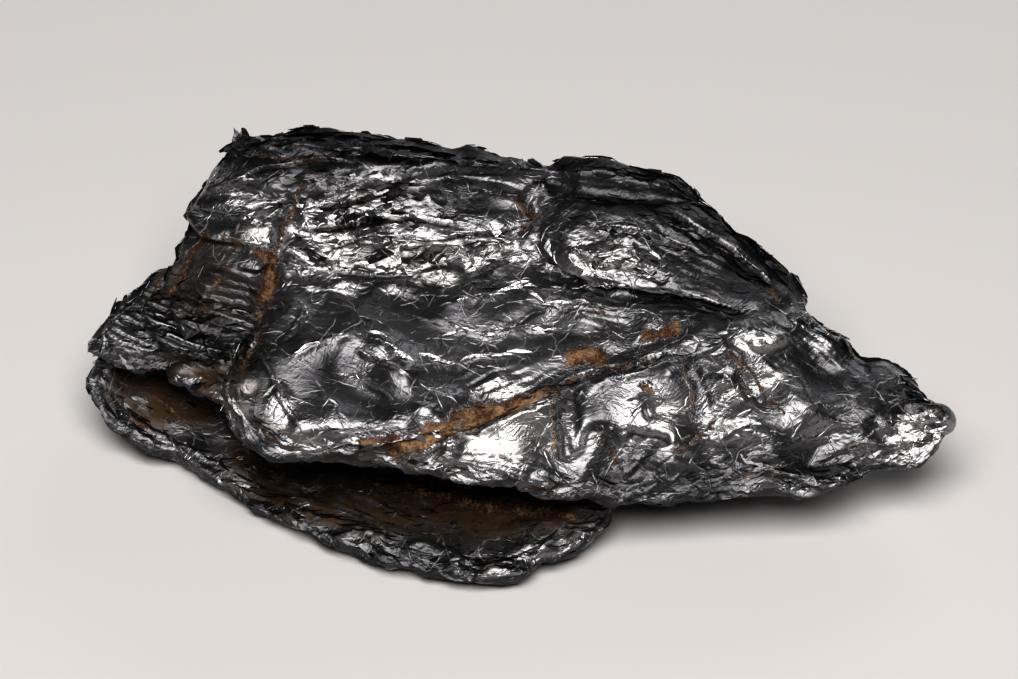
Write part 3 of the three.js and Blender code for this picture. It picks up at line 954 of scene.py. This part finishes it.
def tear_along(line, spacing, length, width, lift, spread, painted_highlight=0.0):
    """Slivers side by side along a line in the frame, with their free edges to its right."""
    for start, end in zip(line[:-1], line[1:]):
        start = Vector(start)
        run = Vector(end) - start
        count = max(1, round(run.length / spacing))
        for step in range(count):
            spot = start + run * (step + draw.random()) / count
            spot += Vector((draw.gauss(0, spread), draw.gauss(0, spread)))
            place, off = on_front(spot)
            if off > NEAR_ENOUGH:
                continue
            turn = Matrix.Rotation(draw.gauss(0, 0.22), 2)
            along = in_frame(turn @ run.normalized())
            size = draw.uniform(0.6, 1.4)
            add_sliver(place, along, length * size, width * size, lift * size, painted_highlight)


# %% Where leaves are torn
LOWER_RIM = (
    (9.6, 38.2), (10.6, 41), (12.6, 43.2), (16, 45.3), (20, 47.2), (25, 50.2), (30, 52.6), (36, 55),
    (42, 57.2), (48, 58), (52, 57.4), (56, 55.4), (60.5, 52),
)
UPPER_RIM = (
    (25, 44.5), (30, 46.4), (35, 47.2), (39, 47.9), (44, 48.4), (50, 49.2), (56, 50), (62, 50.1),
    (68, 49.7), (74, 49), (80, 48.8), (85, 47.9), (89, 46.8), (92, 46.2), (93.6, 44),
)


def moved(line, across_by, down_by):
    """The same line elsewhere in the frame."""
    return tuple((across + across_by, down + down_by) for across, down in line)


# Lines with torn leaves, each (spacing, length, width, lift, line).
TEAR_LINES = (
    (0.6, 2.6, 0.7, 0.25, LOWER_RIM),
    (0.7, 2.2, 0.6, 0.3, moved(LOWER_RIM, 0.3, -0.9)),
    (0.9, 2.4, 0.6, 0.25, moved(LOWER_RIM, 0.6, -1.9)),
    (0.6, 2.4, 0.6, 0.25, UPPER_RIM),
    (0.7, 2.2, 0.6, 0.25, moved(UPPER_RIM, 0, -1)),
    (1.1, 2, 0.5, 0.2, moved(UPPER_RIM, 0, -2.1)),
    (0.6, 2.4, 0.5, 0.2, ((22.9, 39), (23.3, 41.8), (24.8, 44.2), (27, 45.8), (30, 46.2))),
    (0.7, 2.4, 0.5, 0.2, ((23.8, 38.6), (24.3, 41.4), (25.8, 43.6), (28, 45), (31, 45.6))),
    (0.9, 2.2, 0.5, 0.18, ((24.8, 38.4), (25.4, 41), (27, 43), (29.4, 44.2))),
    (0.8, 3, 0.6, 0.25, ((12.6, 36), (14, 36.4), (15.7, 36), (17.3, 36))),
    (0.5, 3, 0.9, 0.45, ((17.6, 37.4), (19.2, 38.2), (20.6, 38.1))),
    (0.8, 2.8, 0.6, 0.3, ((14, 31), (18, 31.6), (24.4, 32.6))),
    (0.8, 2.8, 0.6, 0.3, ((13.6, 32.6), (18, 33.2), (24.2, 34.4))),
    (0.8, 2.8, 0.6, 0.3, ((13.4, 34.2), (18, 34.9), (23.8, 36))),
    (0.8, 2.4, 0.6, 0.3, ((15.4, 29.4), (19, 29.8), (25, 31))),
    (0.8, 2.4, 0.6, 0.3, ((24, 14.6), (30, 13.4), (36, 13.8), (44, 15.4), (52, 16.4))),
    (0.8, 2.4, 0.6, 0.3, ((56, 16.6), (62, 16.8), (68, 18.8), (74, 23), (79, 28.2))),
    (0.9, 2.4, 0.6, 0.25, ((58, 19.8), (64, 20), (70, 23.4), (76, 28))),
    (0.8, 2, 0.6, 0.3, ((79, 31), (84, 34), (88, 36), (91, 38.6), (94, 41.6))),
)
# A tuft of small leaves that stand up at the top left corner.
TUFT = (24.2, 14.2)
TUFT_LEAVES = 26

for _, _, line in LEDGE_LIPS + SEAM_LIPS:
    tear_along(line, 1.3, 2.6, 0.7, 0.14, 0.25)
for _, _, line in all_lips:
    tear_along(line, 2.0, 1.6, 0.5, 0.20, 0.6)
for spacing, length, width, lift, line in TEAR_LINES:
    tear_along(line, spacing, length, width, lift, 0.25)
# The slivers along the creases get extra painted highlight in their colour.
for _, _, line in BASIN_CREASES + NOSE_CREASES:
    tear_along(line[::-1], 1.0, 2.2, 0.34, 0.17, 0.06, 1.5)
for _ in range(TUFT_LEAVES):
    place, _ = on_front((TUFT[0] + draw.gauss(0, 0.5), TUFT[1] + draw.gauss(0, 0.3)))
    along = in_frame((draw.gauss(0, 1), draw.gauss(0, 1)))
    add_sliver(place, along, 0.7, 0.3, draw.uniform(0.3, 1.1))
print("slivers along the tears:", sliver_count())

# %% Slivers over the rest
BEHIND_COUNT = 500
FRONT_COUNT = 260
STEEP = 0.35
TOO_CALM = 0.3

steep_places = np.flatnonzero((steep > STEEP) & (lit < 0.5))
for index in draw.sample(steep_places.tolist(), BEHIND_COUNT):
    along = Vector((0, 0, 1)).cross(Vector(facing[index]))
    along = along * -1 + Vector((0, 0, draw.gauss(0, 0.25)))
    size = draw.uniform(0.7, 1.8)
    add_sliver(Vector(carved[index]), along, 3.4 * size, 0.8 * size, 0.22 * size)
for index in draw.sample(seen.tolist(), FRONT_COUNT):
    if calm[index] > TOO_CALM:
        continue
    along = in_frame((1.0, draw.gauss(0.1, 0.5)))
    size = draw.uniform(0.5, 1.2)
    add_sliver(Vector(carved[index]), along, 2.2 * size, 0.5 * size, 0.13 * size)
print("slivers in all:", sliver_count())

# %% Make the slivers a piece
SHARP = math.radians(40)


def triangle_count(piece):
    """How many triangles the piece's faces make."""
    return sum(len(face.vertices) - 2 for face in piece.data.polygons)


def leaf_piece(name, form):
    """One object of many small closed leaves."""
    form.normal_update()
    bmesh.ops.recalc_face_normals(form, faces=form.faces)
    mesh = bpy.data.meshes.new(name)
    form.to_mesh(mesh)
    form.free()
    mesh.shade_smooth()
    mesh.set_sharp_from_angle(angle=SHARP)
    piece = bpy.data.objects.new(name, mesh)
    bpy.context.scene.collection.objects.link(piece)
    print(name, triangle_count(piece), "triangles")
    return piece


slivers = leaf_piece("leaf_slivers", sliver_form)

# %% [markdown]
# ## Flat leaves
# A leaf that breaks off short lies almost flat on the skin, one side sunk in it and the other standing
# off. Each flashes on its own as the light moves, which bump alone doesn't do at an edge. The solidify
# operator could thicken flat faces, but it may put its new faces in another order on each run. A leaf
# has so few faces that they are joined here by hand: one outline with a few torn corners, turned a few
# degrees off the skin, is set down at two levels, and sides join the two.

# %% Flat leaves
PLATE_THICKNESS = 0.05
PLATE_CORNERS = (4, 5, 5, 6, 7)

plate_form = bmesh.new()
plate_painted_light = plate_form.verts.layers.float.new("painted_light")


def plate_corner(place, tone):
    """A corner of a flat leaf at a place in mm, with its painted highlight or shade."""
    corner = plate_form.verts.new(place * MM)
    corner[plate_painted_light] = tone
    return corner


def add_plate(index, tone, turn, length, width, tilt):
    """A flat leaf on the skin's vertex of this index, its long side turned from the horizontal."""
    outward = Vector(facing[index])
    along = flat_on(outward, in_frame((math.cos(turn), math.sin(turn))))
    outward = outward + along.cross(outward) * draw.gauss(0, tilt) + along * draw.gauss(0, tilt / 2)
    outward.normalize()
    along = flat_on(outward, along)
    across = along.cross(outward)
    middle = Vector(carved[index]) + outward * draw.uniform(-0.02, 0.04)
    corners = draw.choice(PLATE_CORNERS)
    shift = draw.uniform(0, math.tau)
    torn = random.Random(index)
    outline = []
    for corner in range(corners):
        angle = shift + (corner + torn.uniform(-0.3, 0.3)) * math.tau / corners
        reach = torn.uniform(0.75, 1.2) / 2
        off = along * (math.cos(angle) * reach * length) + across * (math.sin(angle) * reach * width)
        outline.append(middle + off)
    # The leaf also takes the painted highlight or shade of the skin under it.
    tone += painted_light[index]
    top = [plate_corner(place, tone) for place in outline]
    under = [plate_corner(place - outward * PLATE_THICKNESS, tone) for place in outline]
    plate_form.faces.new(top)
    plate_form.faces.new(under[::-1])
    for corner in range(corners):
        turned = (corner + 1) % corners
        plate_form.faces.new((top[turned], top[corner], under[corner], under[turned]))


# %% Scatter the flat leaves
# Each scatter is (how many, how much their tones differ, smallest and largest size, middle and spread of
# their turn, length, width, tilt).
WILD_SCATTER = (1000, 0.25, (0.4, 1.3), (0.1, 0.45), 1.5, 0.5, 0.14)
STILL_SCATTER = (110, 0.15, (0.5, 1.2), (0.0, 0.6), 2.6, 0.35, 0.06)
AWAY_SCATTER = (1800, 0.25, (0.5, 1.4), (0.0, 0.35), 2.2, 0.9, 0.14)
RESTFUL = 0.55
RUST_FREE = 0.15
LEVEL = 0.05
UNDERSIDE = -0.3


def scatter(indices, count, tone_spread, sizes, turns, length, width, tilt):
    """Flat leaves on some of the skin's vertices of these indices."""
    for index in draw.sample(indices, count):
        tone = draw.gauss(0, tone_spread)
        size = draw.uniform(*sizes)
        add_plate(index, tone, draw.gauss(*turns), length * size, width * size, tilt)


plain = np.flatnonzero((lit > 0) & (rust < RUST_FREE) & (np.abs(hollow) < LEVEL)).tolist()
scatter([index for index in plain if calm[index] < RESTFUL], *WILD_SCATTER)
scatter([index for index in plain if calm[index] >= RESTFUL], *STILL_SCATTER)
scatter(np.flatnonzero((lit == 0) & (facing[:, 2] > UNDERSIDE)).tolist(), *AWAY_SCATTER)
plates = leaf_piece("flat_leaves", plate_form)

# %% [markdown]
# ## A lighter mesh
# The skin has far more faces than it needs. Remeshing coarser would blur the creases. Collapsing edges
# instead keeps the sharp relief and spends few triangles on flat stretches, and a vertex group lets it
# spend fewer on the back than on the front.

# %% Thin the skin
TRIANGLES = 190_000
BACK_WEIGHT = 0.8

hidden = skin.vertex_groups.new(name="hidden")
weights = np.round(1 - BACK_WEIGHT * in_view, 1)
for weight in np.unique(weights):
    hidden.add(np.flatnonzero(weights == weight).tolist(), weight, "REPLACE")
thin = skin.modifiers.new("thin", "DECIMATE")
thin.vertex_group = "hidden"
thin.vertex_group_factor = 2.0
thin.ratio = min(1.0, TRIANGLES / triangle_count(skin))
settle(skin)
skin.vertex_groups.clear()
skin.data.shade_smooth()
print("skin:", triangle_count(skin), "triangles")

# %% [markdown]
# ## The finish
# Molybdenite is a soft lead-grey metal: its leaves mirror the light where they are fresh and turn matt
# where they are tarnished, dirty or rubbed, and their colour also carries painted highlight and painted
# shade. One metal shader is enough for the whole specimen, with its colour, roughness and finest relief
# worked out from the place on the skin and from the painted attributes. The slivers and plates carry only
# their painted highlight and shade, and read 0 for the rest.

# %% Node helpers
material = bpy.data.materials.new("molybdenite_finish")
material.use_nodes = True
nodes = material.node_tree.nodes
links = material.node_tree.links


def put(socket, value):
    """Give a socket a value, or link it to another node's result."""
    if isinstance(value, bpy.types.NodeSocket):
        links.new(value, socket)
    else:
        socket.default_value = value


def add_node(kind, inputs, **settings):
    """A node of a kind, with its settings and its inputs."""
    node = nodes.new(kind)
    for name, value in settings.items():
        setattr(node, name, value)
    for name, value in inputs.items():
        put(node.inputs[name], value)
    return node


def math_of(operation, first, second=0.0, third=0.0):
    """The result of a Math node."""
    return add_node("ShaderNodeMath", {0: first, 1: second, 2: third}, operation=operation).outputs[0]


def plus(total, value, times):
    """A total with a value added to it so many times."""
    return math_of("MULTIPLY_ADD", value, times, total)


def product(first, second):
    """The product of two values."""
    return math_of("MULTIPLY", first, second)


def vector_of(operation, **inputs):
    """The vector that a Vector Math node gives."""
    places = {"first": 0, "second": 1, "third": 2, "scale": 3}
    inputs = {places[name]: value for name, value in inputs.items()}
    return add_node("ShaderNodeVectorMath", inputs, operation=operation).outputs[0]


def dot_of(first, second):
    """The dot product of two vectors."""
    return add_node("ShaderNodeVectorMath", {0: first, 1: second}, operation="DOT_PRODUCT").outputs["Value"]


def ramp_of(value, low, high):
    """A value stretched so that low becomes 0 and high becomes 1, and held there beyond them."""
    return add_node("ShaderNodeMapRange", {"Value": value, "From Min": low, "From Max": high}).outputs[0]


def mixed(share, first, second):
    """A colour part way from first to second."""
    return add_node("ShaderNodeMix", {0: share, 6: first, 7: second}, data_type="RGBA").outputs[2]


def noise_of(vector, scale, detail=2.0, roughness=0.5, output=0):
    """Soft noise from 0 to 1, of a scale per mm."""
    inputs = {"Vector": vector, "Scale": scale, "Detail": detail, "Roughness": roughness}
    return add_node("ShaderNodeTexNoise", inputs).outputs[output]


def painted(name):
    """A number that is painted on the piece."""
    return add_node("ShaderNodeAttribute", {}, attribute_name=name).outputs["Fac"]


# %% Places, painted numbers and noise
place_on_piece = add_node("ShaderNodeTexCoord", {}).outputs["Object"]
in_mm = vector_of("SCALE", first=place_on_piece, scale=1000.0)
bend = noise_of(in_mm, 0.2, 3.0, output="Color")
broad = noise_of(in_mm, 0.16, 4.0)
blotch = noise_of(in_mm, 0.45, 3.0)
speckle = noise_of(in_mm, 1.1, 3.0)
rust_grain = noise_of(in_mm, 3.2, 3.0, 0.65)
rust_painted = painted("rust")
painted_light_value = painted("painted_light")
crack_shade_value = painted("crack_shade")
hollow_painted = painted("hollow")
grainy_painted = painted("grainy")
calm_painted = painted("calm")
stain_and_shade_value = painted("stain_and_shade")
print("places, numbers and noise:", len(nodes), "nodes")

# %% [markdown]
# ## Fine folds, streaks, grains and hairs
# The leaves are covered in marks finer than the mesh: straight folds a few tenths of a mm apart, uneven
# creases, small grains that each tilt their own way, and long hair-like scratches. A scratch is a line,
# so noise alone doesn't draw it. A set of lines is a triangle wave across a direction, bent by soft
# noise so that no line is straight, and faded in and out so that none runs the whole way.

# %% Sets of bent lines
def in_plane(turn, lean=0.0):
    """A direction across the camera's frame, turned from the horizontal and leaning towards it."""
    across = np.array((1.0, 0, 0)) * math.cos(turn) + frame_up * math.sin(turn)
    across = across + lean * towards_camera
    return Vector(across / np.linalg.norm(across))


def fold_line(spacing, degrees, lean, amount):
    """Distance from the nearest of a set of bent lines, as a share of their spacing."""
    direction = in_plane(math.radians(degrees + 90), lean) / spacing
    bent = dot_of(bend, direction * amount)
    return math_of("PINGPONG", math_of("ADD", dot_of(in_mm, direction), bent), 1.0)


# %% Hairs
# Each is (spacing in mm, width in mm, degrees above the horizontal).
HAIR_SETS = (
    (1.1, 0.08, -4), (1.5, 0.09, 33), (1.8, 0.08, -30), (1.3, 0.08, 14), (1.7, 0.09, 60),
    (1.6, 0.08, -62),
)
HAIR_BEND = 2.6


def hairs_of():
    """1 on long fine hairs and 0 off them."""
    draw = random.Random(3)
    hairs = 0.0
    for spacing, width, degrees in HAIR_SETS:
        off_line = fold_line(spacing, degrees, draw.gauss(0, 0.15), HAIR_BEND)
        shown = ramp_of(noise_of(in_mm, 0.9 / spacing), 0.50, 0.60)
        hairs = math_of("MAXIMUM", product(ramp_of(off_line, width / spacing, 0.0), shown), hairs)
    return hairs


# %% Grains
# Each is (cells a mm, slope).
GRAIN_SETS = ((1.5, 0.4), (0.7, 0.45))
GRAIN_STRETCH = (0.65, 1.0, 1.0)
GRAIN_BEND = (1.2, 1.2, 1.2)
HALF = (0.5, 0.5, 0.5)


def grains_of():
    """The height in mm, and a tone from 0 to 1, of small flat grains that each tilt their own way."""
    height = 0.0
    drawn_out = vector_of("MULTIPLY", first=in_mm, second=GRAIN_STRETCH)
    bent = vector_of("MULTIPLY_ADD", first=bend, second=GRAIN_BEND, third=drawn_out)
    for per_mm, slope in GRAIN_SETS:
        cells = add_node("ShaderNodeTexVoronoi", {"Vector": bent, "Scale": per_mm}).outputs
        off_middle = vector_of("SUBTRACT", first=bent, second=cells["Position"])
        tilt = vector_of("SUBTRACT", first=cells["Color"], second=HALF)
        height = plus(height, dot_of(off_middle, tilt), 2 * slope)
    return height, dot_of(cells["Color"], (0.5, 0.3, 0.2))


# %% Streaks
# Uneven creases, each (creases a mm, depth in mm, degrees above the horizontal).
STREAK_SETS = ((2.2, 0.026, -6), (2.6, 0.024, 34), (2.4, 0.024, -34), (3, 0.02, 66))
STREAK_LENGTH = 8
STREAK_BEND = 2.5


def streaks_of():
    """Uneven creases that run for a few mm, 0 in their depth."""
    draw = random.Random(9)
    height = 0.0
    for per_mm, depth, degrees in STREAK_SETS:
        across = in_plane(math.radians(degrees + 90), draw.gauss(0, 0.3)) * per_mm
        along = in_plane(math.radians(degrees)) * (per_mm / STREAK_LENGTH)
        bent = math_of("ADD", dot_of(in_mm, across), dot_of(bend, across * STREAK_BEND))
        stretched = add_node("ShaderNodeCombineXYZ", {0: bent, 1: dot_of(in_mm, along)}).outputs[0]
        rise = math_of("ABSOLUTE", math_of("SUBTRACT", noise_of(stretched, 1.0), 0.5))
        height = plus(height, rise, 4 * depth)
    return height


# %% All fine relief
# Folds, each (spacing in mm, slope, degrees above the horizontal).
FOLD_SETS = ((0.45, 0.07, -8), (0.4, 0.05, 58), (0.23, 0.06, 12), (0.2, 0.06, -28), (0.19, 0.06, 38))
FOLD_BEND = 3.0
HAIR_HEIGHT = 0.05
CRUST_HEIGHT = 0.12


def fine_relief(hairs, grains, crust):
    """Relief too fine for the mesh: folds and streaks everywhere, grains, hairs and crust in places."""
    draw = random.Random(5)
    height = 0.0
    for index, (spacing, slope, degrees) in enumerate(FOLD_SETS):
        off_line = fold_line(spacing, degrees, draw.gauss(0, 0.35), FOLD_BEND)
        shifted = vector_of("ADD", first=in_mm, second=(31.0 * index, 0, 0))
        strength = ramp_of(noise_of(shifted, 0.22, 1.0), 0.35, 0.65)
        deep = plus(spacing * slope * 0.15, strength, spacing * slope)
        height = plus(height, off_line, deep)
    smoother = plus(plus(1.0, grainy_painted, -0.5), calm_painted, -0.75)
    height = product(height, math_of("MAXIMUM", smoother, 0.2))
    uneven = plus(0.15, ramp_of(noise_of(in_mm, 0.35), 0.35, 0.62), 0.85)
    height = plus(height, streaks_of(), uneven)
    height = plus(height, grains, grainy_painted)
    height = plus(height, hairs, HAIR_HEIGHT)
    height = plus(height, crust, CRUST_HEIGHT)
    return add_node("ShaderNodeBump", {"Height": height, "Distance": MM, "Strength": 1.0}).outputs[0]


# %% [markdown]
# ## Colour and roughness
# The colour is mixed in this order: metal and tarnish, painted highlight and painted shade, grime in
# grains, painted shade in hollows and burnish on ridges, a painted glint on the hairs, painted shade in
# cracks, the brown stain and painted shade of the cleft, and rust on top. Rust and stain are earth and not
# metal, so they also take away from the metallic value and are rougher.

# %% Rust and its grain
# Painted rust and noise add up to where rust holds, so its edge breaks up into specks.
rusty = plus(product(rust_grain, 1.9), speckle, 1.9)
rusty = ramp_of(math_of("ADD", rust_painted, rusty), 2.28, 2.7)
rusty = product(rusty, ramp_of(rust_painted, 0.05, 0.35))
earthy = product(rusty, ramp_of(rust_painted, 0.6, 1.1))
rust_tone = plus(plus(-2.0, rust_grain, 1.8), blotch, 2.2)
rust_tone = plus(rust_tone, rust_painted, 0.5)
print("with rust:", len(nodes), "nodes")

# %% Colours
METAL = (0.34, 0.34, 0.35, 1)
TARNISH = (0.22, 0.22, 0.23, 1)
BURNISH_AND_HIGHLIGHT = (0.54, 0.53, 0.53, 1)
PAINTED_SHADE = (0.075, 0.075, 0.08, 1)
PAINTED_HAIR_GLINT = (0.80, 0.79, 0.78, 1)
GRIME_AND_SHADE = (0.045, 0.043, 0.042, 1)
STAIN_AND_SHADE_BROWN = (0.075, 0.046, 0.025, 1)
RUST_DARK = (0.075, 0.032, 0.012, 1)
RUST_LIGHT = (0.36, 0.235, 0.135, 1)

hairs = product(hairs_of(), ramp_of(painted_light_value, -1.0, -0.7))
grains, grain_tone = grains_of()
dark_grains = product(product(grainy_painted, ramp_of(grain_tone, 0.6, 0.25)), 0.7)
# The brown stain and painted shade of the cleft.
brown_stain_and_shade = product(ramp_of(stain_and_shade_value, 0.1, 0.8), ramp_of(blotch, 0.25, 0.5))
rust_colour = mixed(ramp_of(rust_tone, 0.25, 0.85), RUST_DARK, RUST_LIGHT)
colour = mixed(ramp_of(broad, 0.35, 0.65), TARNISH, METAL)
for share, next_colour in (
    # Painted highlight where the painted light is above 0, and painted shade where it is below.
    (ramp_of(painted_light_value, 0.0, 1.2), BURNISH_AND_HIGHLIGHT),
    (ramp_of(painted_light_value, 0.0, -1.1), PAINTED_SHADE),
    (dark_grains, GRIME_AND_SHADE),
    # Painted shade darkens the hollows, and the ridges take the burnish colour.
    (ramp_of(hollow_painted, 0.1, 0.9), GRIME_AND_SHADE),
    (ramp_of(hollow_painted, -0.1, -0.9), BURNISH_AND_HIGHLIGHT),
    # A painted glint lightens the hairs.
    (product(hairs, 0.7), PAINTED_HAIR_GLINT),
    # Painted shade in the cracks.
    (ramp_of(crack_shade_value, 0.2, 0.9), GRIME_AND_SHADE),
    (brown_stain_and_shade, STAIN_AND_SHADE_BROWN),
    (rusty, rust_colour),
):
    colour = mixed(share, colour, next_colour)
print("with colours:", len(nodes), "nodes")

# %% Metallic, roughness and the shader
metallic = 1.0
for part, amount in ((rusty, -0.35), (earthy, -0.6), (brown_stain_and_shade, -0.6)):
    metallic = plus(metallic, part, amount)
roughness = 0.42
for part, amount in (
    (ramp_of(broad, 0.3, 0.7), -0.08),
    (rusty, 0.12),
    (earthy, 0.4),
    (crack_shade_value, 0.25),
    (brown_stain_and_shade, 0.25),
    (hairs, 0.2),
    (ramp_of(painted_light_value, 0.0, -1.0), 0.12),
):
    roughness = plus(roughness, part, amount)

shader = nodes["Principled BSDF"]
put(shader.inputs["Base Color"], colour)
put(shader.inputs["Metallic"], metallic)
put(shader.inputs["Roughness"], roughness)
put(shader.inputs["Normal"], fine_relief(hairs, grains, product(rusty, rust_grain)))
print("finish:", len(nodes), "nodes")

# %% Dress the pieces
skin.data.materials.clear()
for piece in (skin, slivers, plates):
    piece.data.materials.append(material)
    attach(piece, "root")
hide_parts("molybdenite")
print("dressed:", skin.name, slivers.name, plates.name)

# %% [markdown]
# ## The table and the light
# A mirror-like mineral shows its surroundings, so the light decides how it reads. One broad soft box
# overhead, a little to the front, gives the tilted leaves something to flash with, and the dark room
# keeps the others black. A weak one behind draws the back edge. The floor is pale and matt, broad enough
# that its edge is never seen.

# %% Floor
FLOOR_SIZE = 3.0
FLOOR_COLOUR = (0.66, 0.65, 0.64, 1)
FLOOR_ROUGHNESS = 0.9


def pale_floor():
    """A broad matt floor at the height of the specimen's foot."""
    form = bmesh.new()
    bmesh.ops.create_grid(form, x_segments=1, y_segments=1, size=FLOOR_SIZE / 2)
    mesh = bpy.data.meshes.new("floor")
    form.to_mesh(mesh)
    form.free()
    paper = bpy.data.materials.new("pale_floor")
    paper.use_nodes = True
    inputs = paper.node_tree.nodes["Principled BSDF"].inputs
    inputs["Base Color"].default_value = FLOOR_COLOUR
    inputs["Roughness"].default_value = FLOOR_ROUGHNESS
    mesh.materials.append(paper)
    floor = bpy.data.objects.new("floor", mesh)
    bpy.context.scene.collection.objects.link(floor)
    return floor


pale_floor()
print("floor, m:", FLOOR_SIZE)

# %% Lights
def soft_box(name, direction, away, size, watts, colour=(1, 1, 1)):
    """A rectangular area light that looks at the specimen from a direction, away metres off."""
    data = bpy.data.lights.new(name, "AREA")
    data.shape = "RECTANGLE"
    data.size, data.size_y = size
    data.energy = watts
    data.color = colour
    light = bpy.data.objects.new(name, data)
    direction = Vector(direction).normalized()
    light.location = Vector(aim * MM) + direction * away
    light.rotation_euler = direction.to_track_quat("Z", "Y").to_euler()
    bpy.context.scene.collection.objects.link(light)
    print("light", name, "of", watts, "W")


soft_box("overhead", (-0.05, -0.42, 0.9), 0.55, (0.46, 0.38), 3.1, (1.0, 0.97, 0.95))
soft_box("behind", (0.35, 0.85, 0.35), 0.7, (0.40, 0.30), 0.7)

# %% Dark room and tone
ROOM = (0.02, 0.02, 0.022, 1)

world = bpy.data.worlds.new("studio")
world.use_nodes = True
world.node_tree.nodes["Background"].inputs[0].default_value = ROOM
bpy.context.scene.world = world
bpy.context.scene.view_settings.view_transform = "Standard"
bpy.context.scene.view_settings.look = "High Contrast"
print("room:", ROOM[:3])
